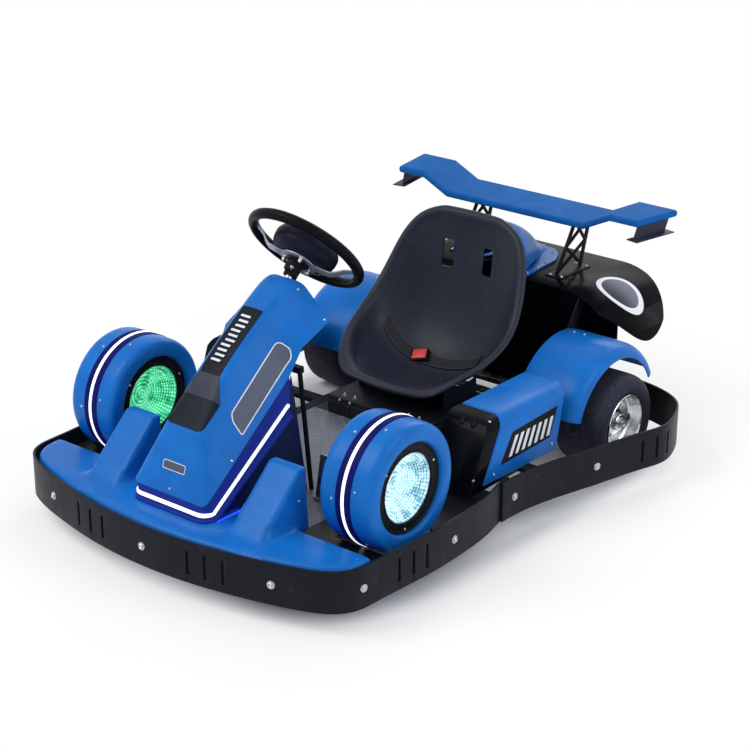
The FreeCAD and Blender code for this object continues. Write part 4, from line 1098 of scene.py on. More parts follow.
# ---- sub-assemblies ----------------------------------------------------------------------------
@dataclass
class BumperBands:
    """The moulded band round the kart, in two lapped lengths, with its slots and bolts."""

    rounding: float = 1.7
    slot_height: float = 62.0
    slot_width: float = 9.0
    slot_depth: float = 4.6
    reach: float = 140.0
    middle: float = 105.0
    front_slots: Sequence[Pair] = ((140, -819), (188, -811), (237, -803),
                                   (537, -521), (540, -473), (542, -427))
    rear_slots: Sequence[Pair] = ((603, 362), (617, 410), (624, 458))
    front_bolts: Sequence[Pair] = ((0, -826), (357, -775), (532, -639), (539, -321))
    rear_bolts: Sequence[Pair] = ((512, -53), (567, 214), (300, 690), (0, 690))

    def spots(self, node: str, places: Sequence[Pair]) -> list[tuple[Vector, Vector]]:
        """Points and outward directions on a band, on both sides.

        Args:
            node: The band's CAD node.
            places: Rough x and y of each point in millimetres.

        Returns:
            Places and directions.
        """
        tree = surface_of(node)
        found = []
        for x, y in places:
            for sign in SIDES if x else (1,):
                guess = mm(sign * x, y, self.middle)
                way = Vector((guess.x, guess.y - 0.1 * (y > 0), 0.0)).normalized()
                point, normal, _, _ = tree.find_nearest(guess + way * 0.02)
                found.append((point, Vector((normal.x, normal.y, 0.0)).normalized()))
        return found

    def slots(self, node: str, places: Sequence[Pair]) -> BMesh:
        """Upright blind slots with round ends, as one cutting mesh.

        Args:
            node: The band's CAD node.
            places: Rough x and y of each slot in millimetres.

        Returns:
            The mesh.
        """
        bm = bmesh.new()
        cut = 40 * MM
        for point, out in self.spots(node, places):
            side = UP.cross(out)
            w, h = self.slot_width / 2000, self.slot_height / 2000
            corners = [point - out * self.slot_depth * MM + side * (a * w) + UP * (b * h) for a, b in CORNERS]
            prism(bm, corners, out * cut)
        lines = {edge: edge.verts[0].co - edge.verts[1].co for edge in bm.edges}
        inward = [edge for edge, line in lines.items() if abs(line.z) < 1e-6 and line.length > cut * 0.75]
        round_off(bm, inward, self.slot_width * 0.46, 4)
        return bm

    def part(self, bm: BMesh, node: str, places: Sequence[Pair]) -> None:
        """Splits the band's long faces beside each slot, so that its shading stays even.

        Args:
            bm: The band's mesh.
            node: The band's CAD node.
            places: Rough x and y of each slot in millimetres.
        """
        for point, out in self.spots(node, places):
            side = UP.cross(out)
            for way in SIDES:
                near = [f for f in bm.faces if (f.calc_center_median() - point).length < self.reach * MM]
                parts = {g for f in near for g in (*f.edges, *f.verts)}
                beside = point + side * (way * self.slot_width * 0.9 * MM)
                bmesh.ops.bisect_plane(bm, geom=near + list(parts), dist=1e-6, plane_no=side, plane_co=beside)

    def build(self) -> None:
        """Makes both lengths and their bolts."""
        screws = Fasteners("bumper_bolts")
        for node, slots, bolts in (("front_bumper_band", self.front_slots, self.front_bolts),
                                   ("rear_bumper_band", self.rear_slots, self.rear_bolts)):
            bm = from_node(node)
            self.part(bm, node, slots)
            soften(bm, self.rounding, 3, 50.0)
            band = place(bm, f"{node}_skin", "chassis", BAND, replaced=[node])
            carve(band, self.slots(node, slots))
            for point, out in self.spots(node, bolts):
                screws.screw(point, out, 6.6, 10.5, 0.6)
        screws.finish_up()


@dataclass
class FrontDeck:
    """Moulded nose deck with its two ramps, one flowing skin."""

    gap: float = 9.0
    top: float = 162.0
    bottom: float = 107.0
    rear: float = -606.0
    ramp_inner: float = 182.0
    ramp_outer: float = 292.0
    ramp_front: float = -734.0
    ramp_crest: float = -590.0
    ramp_rear: float = -563.0
    ramp_top: float = 300.0
    rounding: float = 14.0
    voxel: float = 5.0
    wall: float = 4.0
    overlap: float = 25.0
    easing: int = 7
    foot_easing: int = 30
    ramp_bolt: Place = (289.0, -598.0, 226.0)
    corner_bolt: Pair = (500.0, -640.0)

    def outline(self) -> list[Vector]:
        """Half of the deck's plan, from the middle round to the rear corner, found inside the band.

        Returns:
            Its points in metres.
        """
        band = surface_of("front_bumper_band")
        points = []
        for number in range(26):
            turn = max(0.0, number - 6) / 19 * math.radians(100)
            start = mm(min(number, 6) * 55.0, -600.0, 100.0)
            way = Vector((math.sin(turn), -math.cos(turn), 0.0))
            hit = band.ray_cast(start, way, 0.6)[0]
            if hit is not None and hit.y * 1000 < self.rear:
                points.append(hit - way * (self.gap * MM))
        last = points[-1]
        points.append(Vector((last.x, self.rear * MM, last.z)))
        return points

    def slab(self, bm: BMesh) -> None:
        """The deck's body, with its upper edges rounded.

        Args:
            bm: The mesh it joins.
        """
        half = [Vector((p.x, p.y, self.bottom * MM)) for p in self.outline()]
        ring = half + [Vector((-p.x, p.y, p.z)) for p in reversed(half) if p.x > 1e-6]
        verts = prism(bm, ring, mm(0, 0, self.top - self.bottom))
        tops = {v for v in verts if v.co.z > (self.top - 1) * MM}
        edges = [e for e in bm.edges if e.verts[0] in tops and e.verts[1] in tops]
        round_off(bm, edges, self.rounding)

    def ramp(self, bm: BMesh, sign: int) -> None:
        """One ramp, narrower at its crest.

        Args:
            bm: The mesh it joins.
            sign: 1 on the left, -1 on the right.
        """
        low = self.top - self.overlap
        slope = (self.ramp_top - self.top) / (self.ramp_crest - self.ramp_front)
        foot = self.ramp_front - (self.top - low) / slope
        corners = []
        for height, front, rear, lean in ((low, foot, self.ramp_rear, 0.0),
                                          (self.ramp_top, self.ramp_crest, self.ramp_rear - 1, 6.0)):
            for x in (self.ramp_inner + lean, self.ramp_outer - lean):
                corners += [bm.verts.new(mm(sign * x, y, height)) for y in (front, rear)]
        bmesh.ops.convex_hull(bm, input=corners)

    def ease(self, bm: BMesh) -> None:
        """Smooths the skin: a little everywhere, and much more round the ramps' feet.

        Args:
            bm: The skin's mesh.
        """
        relax(bm, bm.verts[:], self.easing)
        foot = [v for v in bm.verts if self.top - 14 < v.co.z * 1000 < self.top + 34
                and self.ramp_inner - 34 < abs(v.co.x * 1000) < self.ramp_outer + 40
                and self.ramp_front - 46 < v.co.y * 1000 < self.rear - 14]
        relax(bm, foot, self.foot_easing)

    def build(self) -> None:
        """Blends the solids into one skin, and adds its screws."""
        bm = bmesh.new()
        self.slab(bm)
        for sign in SIDES:
            self.ramp(bm, sign)
        piece = place(bm, "front_deck_skin", "chassis", BLUE, replaced=["front_deck"])
        blend = piece.modifiers.new("blend", "REMESH")
        blend.mode = "VOXEL"
        blend.voxel_size = self.voxel * MM
        bake_modifiers(piece)
        bm = bmesh.new()
        bm.from_mesh(piece.data)
        self.ease(bm)
        self.clear(bm)
        bm.to_mesh(piece.data)
        bm.free()
        piece.data.materials.clear()
        piece.data.materials.append(BLUE.material())
        piece.data.shade_smooth()
        piece.data.set_sharp_from_angle(angle=math.radians(50))
        LOG.info("front_deck_skin: %d faces after blending", len(piece.data.polygons))
        screws = Fasteners("front_deck_screws")
        for sign in SIDES:
            screws.screw(mm(sign * self.ramp_bolt[0], *self.ramp_bolt[1:]), Vector((sign, 0, 0)), 3.6)
            screws.screw(mm(sign * (self.ramp_inner - 6), self.ramp_front + 22, self.top + 1), UP, 3.6)
            corner = mm(sign * self.corner_bolt[0], self.corner_bolt[1], self.top - 2.5)
            screws.screw(corner, Vector((sign * 0.35, 0, 1)), 3.6)
        screws.finish_up()

    def clear(self, bm: BMesh) -> None:
        """Opens the skin below and gives it its wall, inwards.

        Args:
            bm: The skin's mesh.
        """
        bmesh.ops.bisect_plane(bm, geom=whole(bm), plane_co=mm(0, 0, self.bottom + 6), plane_no=(0, 0, -1),
                               dist=1e-6, clear_outer=True)
        orient(bm, lambda face: face.normal.z * face.calc_area())
        bmesh.ops.solidify(bm, geom=bm.faces[:], thickness=self.wall * MM)


@dataclass
class Nose:
    """Folded cowl with its dark ridge, side panels, plinth and light strip."""

    ridge_line: Sequence[Place] = ((56, -678.5, 359), (54, -615.5, 412), (36, -588.5, 470),
                                   (37, -421.5, 588), (34, -334.5, 648), (44, -300.5, 622))
    edge_line: Sequence[Place] = ((119, -732.5, 204), (119, -643.4, 274.8), (119, -569.2, 333.8),
                                  (119, -435.5, 440), (125, -395.5, 503), (130, -300.5, 545))
    fold: float = 13.0
    wall: float = 4.0
    bars: int = 10
    bar_length: float = 29.0
    bar_width: float = 6.4
    half: float = 119.0
    front: float = -732.5
    corner: float = 27.0
    plinth_low: float = 150.0
    plinth_high: float = 203.0
    plinth_rear: float = -436.0
    plinth_rear_low: float = 338.0
    plinth_rear_high: float = 438.0
    tuck: float = 8.0
    tuck_rise: Pair = (13.0, 12.0)
    climb: float = 0.8
    strip_middle: float = 180.0
    strip_end: Pair = (-444.5, 367.6)
    column: Sequence[Place] = ((0, -262, 661), (0, -440, 501))
    column_radius: float = 21.0
    inside: Place = (0, -520, 250)
    screw_places: Sequence[Place] = ((116, -635, 290), (66, -330, 624), (124, -312, 552))

    def skin(self) -> BMesh:
        """The cowl's outer faces: front, two sides and the ridge between them.

        Returns:
            Their mesh.
        """
        bm = bmesh.new()
        ridge, edge = ([{sign: bm.verts.new(mm(sign * x, y, z)) for sign in SIDES} for x, y, z in line]
                       for line in (self.ridge_line, self.edge_line))
        bm.faces.new((edge[0][-1], edge[0][1], ridge[0][1], ridge[0][-1]))
        folds = [bm.edges.get((edge[0][sign], ridge[0][sign])) for sign in SIDES]
        folds.append(bm.edges.get((ridge[0][1], ridge[0][-1])))
        for near, far in zip(range(5), range(1, 6)):
            for sign in SIDES:
                bm.faces.new((edge[near][sign], edge[far][sign], ridge[far][sign], ridge[near][sign]))
                folds.append(bm.edges.get((ridge[near][sign], ridge[far][sign])))
            bm.faces.new((ridge[near][1], ridge[far][1], ridge[far][-1], ridge[near][-1]))
        bmesh.ops.recalc_face_normals(bm, faces=bm.faces[:])
        round_off(bm, folds, self.fold)
        return bm

    def cowl(self) -> BVHTree:
        """The cowl's shell with a hole for the steering column.

        Returns:
            Its surface, to lay things on.
        """
        piece = place(self.skin(), "nose_cowl_skin", "chassis", BLUE, sharp=45.0, outward=False,
                      replaced=["nose_cowl"])
        thicken(piece, self.wall, 1.0)
        column = bmesh.new()
        start, end = (mm(*place_) for place_ in self.column)
        rod(column, start, end, self.column_radius, segments=40)
        carve(piece, column, 45.0)
        return surface_of(piece)

    def ridge(self, cowl: BVHTree) -> None:
        """Dark ridge panels with rounded lower corners, laid on the cowl, and the pale bars on the louvre.

        Args:
            cowl: The cowl's surface.
        """
        centres = [Vector((0.0, y, z)) * MM for _, y, z in self.ridge_line[:4]]
        # The middle plate takes the lighter charcoal: painted light where it faces up.
        plates = (("low", 0, 0.01, 1.0, 57, 59, CHARCOAL, 13.0), ("middle", 1, 0.0, 1.0, 58, 31, CHARCOAL_PAINTED_LIGHT, 2.0),
                  ("louvre", 2, 0.0, 0.955, 31, 31, CHARCOAL, 4.0))
        for name, number, low, high, wide, narrow, finish, curve in plates:
            run = centres[number + 1] - centres[number]
            near, far, turn = run.length * low * 1000, run.length * high * 1000, curve * 0.3
            right = [(wide - curve, near), (wide - turn, near + turn), (wide, near + curve), (narrow, far)]
            outline = [(-wide + curve, near), *right, (-narrow, far), (-wide, near + curve),
                       (-wide + turn, near + turn)]
            facet = Facet(centres[number], ACROSS, run)
            Sticker(f"ridge_{name}_panel", facet, outline, finish, lift=2.2, step=12.0, thick=1.8).lay(cowl)
        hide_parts("nose_spine")
        louvre = Facet(centres[2], ACROSS, centres[3] - centres[2])
        length = (centres[3] - centres[2]).length * 1000
        bm = bmesh.new()
        for number in range(self.bars):
            foot, skew = length * (0.17 + number * 0.0725), 2.2 * math.sin(number * 1.9)
            across, along = self.bar_length / 2, self.bar_width / 2
            corners = [louvre.point(skew + a * across, foot + b * along, 1.9) for a, b in CORNERS]
            prism(bm, corners, louvre.facing * (1.2 * MM))
        soften(bm, 0.5, 2, 60.0)
        place(bm, "ridge_bars", "chassis", DECAL_WHITE)

    def marks(self, cowl: BVHTree) -> None:
        """Blank bordered panels on the cowl's sides and front.

        Args:
            cowl: The cowl's surface.
        """
        side = Facet(mm(93, -510, 428), Vector((0.02, 200, 163)), Vector((-40, -20, 82)))
        panel = [(-122, -25), (104, -25), (122, -10), (122, 18), (112, 27), (-92, 27), (-108, 12)]
        for sign, facet in ((1, side), (-1, side.mirrored())):
            Sticker(f"nose_panel_{side_name(sign)}", facet, on_side(panel, sign), DECAL_GREY, 2.8,
                    DECAL_WHITE, 7.0).lay(cowl)
        front = Facet(mm(0, -712, 268), ACROSS, Vector((0, 54, 155)))
        plate = [(-36, -11), (36, -11), (36, 11), (-36, 11)]
        Sticker("nose_front_plate", front, plate, DECAL_GREY, 1.8, DECAL_WHITE, 5.0).lay(cowl)

    def course(self, height: float, end: Pair, proud: float, rise: float = 0.0) -> list[Matrix]:
        """Stations of a line round the nose's foot, level in front and climbing along the sides.

        Args:
            height: Its height in front.
            end: Its y and z at its rear ends.
            proud: How far it stands off the plinth's face.
            rise: How much it climbs round each corner.

        Returns:
            Stations whose second axis looks outwards.
        """
        x, y, c = self.half + proud, self.front - proud, self.corner
        knee, tail = mm(x, y + c, height + rise), mm(x, *end)
        left = [(tail.lerp(knee, share / 6), knee - tail, ACROSS) for share in range(6)]
        steps = 8
        for step in range(steps + 1):
            turn = step / steps * math.pi / 2
            out = Vector((math.cos(turn), -math.sin(turn), 0))
            at = mm(x - c, y + c, height + rise * (1 - math.sin(turn))) + out * (c * MM)
            along = Vector((-math.sin(turn), -math.cos(turn), 0))
            along = along.lerp((knee - tail).normalized(), (1 - step / steps) ** 2).normalized()
            left.append((at, along, out))
        flip = Matrix.Diagonal((-1.0, 1.0, 1.0))
        right = [(flip @ at, -(flip @ along), flip @ out) for at, along, out in reversed(left)]
        return [stand(at, along, out) for at, along, out in left + right]

    def foot(self) -> None:
        """Plinth, its foot lip and the light strip, swept round the nose's foot."""
        bm = bmesh.new()
        climb, rear = self.corner * self.climb, self.plinth_rear
        low, high = self.plinth_rear_low, self.plinth_rear_high
        tuck_front, tuck_rear = self.plinth_high + self.tuck_rise[0], high + self.tuck_rise[1]
        rows = (self.course(self.plinth_low, (rear, low), 0.0),
                self.course(self.plinth_high, (rear, high), 0.0, climb),
                self.course(tuck_front, (rear, tuck_rear), -self.tuck, climb))
        bridge(bm, [[station.translation for station in row] for row in rows])
        orient(bm, lambda face: face.normal.dot(face.calc_center_median() - mm(*self.inside)))
        bmesh.ops.solidify(bm, geom=bm.faces[:], thickness=self.wall * MM)
        lip = [(-2, -6), (7, -6), (8, -5), (8, 2), (5, 5), (-2, 5)]
        sweep(bm, self.course(self.plinth_low + 14, (rear, low + 4), 0.0), lip)
        # The plinth glows: painted blue light from the strip.
        place(bm, "nose_plinth_skin", "chassis", COVE_PAINTED_GLOW, sharp=40.0, replaced=["nose_plinth"])
        bm = bmesh.new()
        section = [(-3, -5), (1.2, -5), (2.6, -3.6), (2.6, 3.6), (1.2, 5), (-3, 5)]
        sweep(bm, self.course(self.strip_middle, self.strip_end, 0.6), section)
        for sign in SIDES:
            inner, outer = (mm(sign * (self.half + reach), *self.strip_end) for reach in (-2.4, 3.0))
            rod(bm, inner, outer, 4.9)
        place(bm, "nose_light_line", "chassis", STRIP, sharp=40.0, replaced=["nose_light_strip"])

    def build(self) -> None:
        """Makes the whole nose."""
        cowl = self.cowl()
        self.ridge(cowl)
        self.marks(cowl)
        self.foot()
        screws = Fasteners("nose_screws")
        pairs = [mm(sign * x, y, z) for x, y, z in self.screw_places for sign in SIDES]
        for guess in [mm(0, -731, 218), *pairs]:
            point, normal, _, _ = cowl.find_nearest(guess)
            screws.screw(point, normal, 3.4)
        screws.finish_up()


class LensColour(Enum):
    """Colour that a drum's lamps shine in."""

    WHITE = "white"
    GREEN = "green"

    @property
    def finish(self) -> Beaded:
        """The lens finish of that colour."""
        return LENS_WHITE if self is LensColour.WHITE else LENS_GREEN


@dataclass
class Drum:
    """Round lit fairing that stands where a front wheel would."""

    sign: int
    colour: LensColour
    across: float = 415.0
    along: float = -432.5
    height: float = 256.5
    radius: float = 158.0
    half: float = 78.0
    mouth: float = 111.6
    face: float = 66.0
    band: float = 22.0
    lens: float = 85.8
    wall: float = 4.0
    screw_circle: float = 101.0
    face_screws: Sequence[float] = (-53, 67, 187)
    tread_screws: Sequence[float] = (-83, -22, 38, 98, 218)

    @property
    def centre(self) -> Vector:
        """Middle of the drum."""
        return mm(self.sign * self.across, self.along, self.height)

    @property
    def tag(self) -> str:
        """Side name."""
        return side_name(self.sign)

    def turned(self, profile: Sequence[Pair], steps: int = 128) -> BMesh:
        """A ring of the given profile round the drum's axis.

        Args:
            profile: Points as millimetres along the axis and from it.
            steps: Faces round it.

        Returns:
            Its mesh.
        """
        bm = bmesh.new()
        lathe(bm, profile, self.centre, steps)
        return bm

    def lay_out(self, part: str, profile: Sequence[Pair], finish: Finish, node: str, side: int = 0,
                steps: int = 128) -> None:
        """Makes one turned part of the drum.

        Args:
            part: The part's name.
            profile: Points as millimetres along the axis and from it.
            finish: Its finish.
            node: The CAD node that it stands for.
            side: The face it belongs to, 1 on the left and -1 on the right, or 0 for both.
            steps: Faces round it.
        """
        name = f"drum_{part}_{self.tag}"
        if side:
            profile = [(a * side, q) for a, q in profile]
            name += "_out" if side == self.sign else "_in"
        place(self.turned(profile, steps), name, "chassis", finish, replaced=[node])

    def lamp(self, side: int) -> None:
        """Bezel and stepped lens on one face.

        Args:
            side: 1 for the left face, -1 for the right.
        """
        f, m, s = self.face, self.mouth, self.lens
        bezel = [(f - 6, s), (f - 6, m - 0.4), (f - 0.6, m - 0.4), (f, m - 1.2), (f, m - 5), (f - 1.6, m - 7),
                 (f - 1.6, s + 6), (f + 0.4, s + 4), (f + 0.4, s + 1.2), (f - 0.4, s)]
        self.lay_out("bezel", bezel, SATIN, "drum_bezels", side)
        disc = [(f - 52, 0), (f - 52, s - 0.3), (f - 6, s - 0.3), (f - 6, s - 4), (f - 15, s - 6),
                (f - 15, s - 12), (f - 24, s - 14), (f - 24, s - 20), (f - 33, s - 22), (f - 33, s - 28),
                (f - 41, s - 30), (f - 41, s - 36), (f - 47, s - 38), (f - 47, s - 56), (f - 45, 14),
                (f - 44, 0)]
        self.lay_out("lens", disc, self.colour.finish, "drum_lenses", side, 96)

    def shell_profile(self) -> list[Pair]:
        """Outer skin with rounded shoulders and mouth, then the inner skin back.

        Returns:
            Points as millimetres along the axis and from it.
        """
        h, r, m, f = self.half, self.radius, self.mouth, self.face
        outer = [(f, m), (f + 4.0, m + 0.5), (h - 4.6, m + 2.2), (h - 1.8, m + 5.4), (h - 0.4, m + 10),
                 (h, m + 16), (h - 0.4, r - 22), (h - 1.5, r - 15), (h - 3.6, r - 9.4), (h - 7.6, r - 4.8),
                 (h - 13, r - 1.8), (h - 19, r - 0.5), (h - 27, r)]
        t = self.wall
        inner = [(f - t, m + t), (f + 2.5, m + t + 1), (h - t - 2, m + 9), (h - t - 0.8, m + 13),
                 (h - t - 0.8, r - 23), (h - t - 2.6, r - 15.5), (h - t - 5.4, r - 10.6),
                 (h - t - 11, r - 6.4), (h - t - 22, r - t)]
        ring = outer + [(-a, b) for a, b in reversed(outer)]
        return ring + [(-a, b) for a, b in inner] + inner[::-1]

    def build(self) -> None:
        """Makes the shell, band, light ring, bezels, lenses and screws."""
        r, b = self.radius, self.band
        self.lay_out("shell", self.shell_profile(), BLUE, "drum_shells")
        band = [(-b, r - 1), (-b, r + 1.0), (-b + 0.8, r + 1.7), (-5, r + 1.7), (-4.6, r + 0.6),
                (4.6, r + 0.6), (5, r + 1.7), (b - 0.8, r + 1.7), (b, r + 1.0), (b, r - 1)]
        self.lay_out("band", band, INDIGO, "drum_bands")
        light = [(-4.2, r), (-4.2, r + 2.2), (-3, r + 3.0), (3, r + 3.0), (4.2, r + 2.2), (4.2, r)]
        self.lay_out("light", light, STRIP, "drum_light_rings")
        screws = Fasteners(f"drum_screws_{self.tag}")
        for side in SIDES:
            self.lamp(side)
            for degrees in self.face_screws:
                at = mm(side * (self.face - 1.6), 0, 0) + from_straight_up(degrees) * (self.screw_circle * MM)
                screws.screw(self.centre + at, Vector((side, 0, 0)), 3.4)
            for degrees in self.tread_screws:
                out = from_straight_up(degrees + 6 * side)
                screws.screw(self.centre + mm(side * 33, 0, 0) + out * ((r - 0.4) * MM), out, 3.2)
        screws.finish_up()


@dataclass
class SteeringWheel:
    """Rim, bright arms, thick pad and the clamp below it."""

    centre: Pair = (-237.5, 683.0)
    lean: float = 48.0
    radius: float = 146.0
    grip: float = 13.0
    turn: float = 26.0
    drop: float = 36.0

    def frame(self) -> Matrix:
        """From the wheel's own axes, with its axis along X, to the kart's.

        Returns:
            The matrix.
        """
        axis = from_straight_up(self.lean)
        back = from_straight_up(self.lean - 90)
        return Matrix.Translation(mm(0, *self.centre)) @ basis(axis, back, ACROSS)

    def set_in(self, bm: BMesh, name: str, finish: Finish, replaced: Sequence[str] = ()) -> Object:
        """Moves a mesh from the wheel's axes to the kart and makes the piece."""
        bmesh.ops.transform(bm, matrix=self.frame(), verts=bm.verts[:])
        return place(bm, name, "steering_wheel", finish, replaced=replaced)

    def spoke(self, bm: BMesh, degrees: float) -> None:
        """One bent strap from the hub plate up past the pad to the rim, narrower at its end.

        Args:
            bm: The mesh it joins.
            degrees: Where it stands on the wheel.
        """
        d = self.drop
        rows = ((20, -d, 17), (58, -d, 16), (84, -d + 2, 15), (97, -d + 10, 14), (112, -d + 24, 12),
                (126, -5, 10), (137, -2, 9))
        turn = Matrix.Rotation(math.radians(degrees), 4, "X")
        stations = []
        for number, (reach, height, half) in enumerate(rows):
            near, far = rows[max(0, number - 1)], rows[min(len(rows) - 1, number + 1)]
            along = mm(far[1] - near[1], 0, far[0] - near[0])
            stations.append(turn @ stand(mm(height, 0, reach), along, REARWARD, (1, half, 1.9)))
        sweep(bm, stations, CORNERS)

    def build(self) -> None:
        """Makes the wheel in its own axes and sets it on the column."""
        ring = bmesh.new()
        turns = [math.tau * number / 16 for number in range(16)]
        circle = [(self.grip * math.sin(a) * 1.06, self.radius + self.grip * math.cos(a)) for a in turns]
        lathe(ring, circle, Vector(), 128)
        self.set_in(ring, "steering_rim_grip", GRIP, ["steering_wheel_rim"])
        arms = bmesh.new()
        for degrees in (0, 90, 180):
            self.spoke(arms, degrees + self.turn)
        back, face = -self.drop - 3.7, -self.drop + 0.1
        lathe(arms, [(back, 12), (back, 48), (face, 48), (face, 12)], Vector(), 48)
        bmesh.ops.recalc_face_normals(arms, faces=arms.faces[:])
        soften(arms, 0.8, 2, 50.0)
        self.set_in(arms, "steering_arms", YOKE, ["steering_wheel_hub"])
        pad = bmesh.new()
        lathe(pad, [(-34, 0), (-34, 62), (-32, 70), (-26, 77), (-16, 82), (-4, 84.5), (0, 84.5), (1, 83.2),
                    (2.4, 83.2), (3.4, 84.6), (10, 84), (18, 80), (24, 72), (27.5, 58), (29, 34), (29.5, 0)],
              Vector(), 72)
        self.set_in(pad, "steering_pad", PAD)
        clamp = bmesh.new()
        lathe(clamp, [(-45, 12), (-45, 27), (-41, 30), (-39.9, 30), (-39.9, 12)], Vector(), 40)
        sleeve = [(-84, 11.2), (-84, 16), (-81, 18), (-50, 18), (-46, 21), (-44, 21), (-44, 11.2)]
        lathe(clamp, sleeve, Vector(), 40)
        block(clamp, mm(-76, 12, -8), mm(-56, 26, 8))
        bmesh.ops.recalc_face_normals(clamp, faces=clamp.faces[:])
        self.set_in(clamp, "steering_clamp", SATIN)
        screws = Fasteners("steering_bolts", "steering_wheel")
        for degrees in (45, 165, 285):
            at = mm(back, 0, 0) + from_straight_up(degrees) * (38 * MM)
            screws.screw(at, -ACROSS, 5.0, 7.0, 2.0)
        for side in SIDES:
            screws.screw(mm(-66, 20, side * 8), Vector((0, 0, side)), 4.2, 5.8, 1.0)
        bmesh.ops.transform(screws.bm, matrix=self.frame(), verts=screws.bm.verts[:])
        screws.finish_up()
        dress("steering_shaft", STEEL)


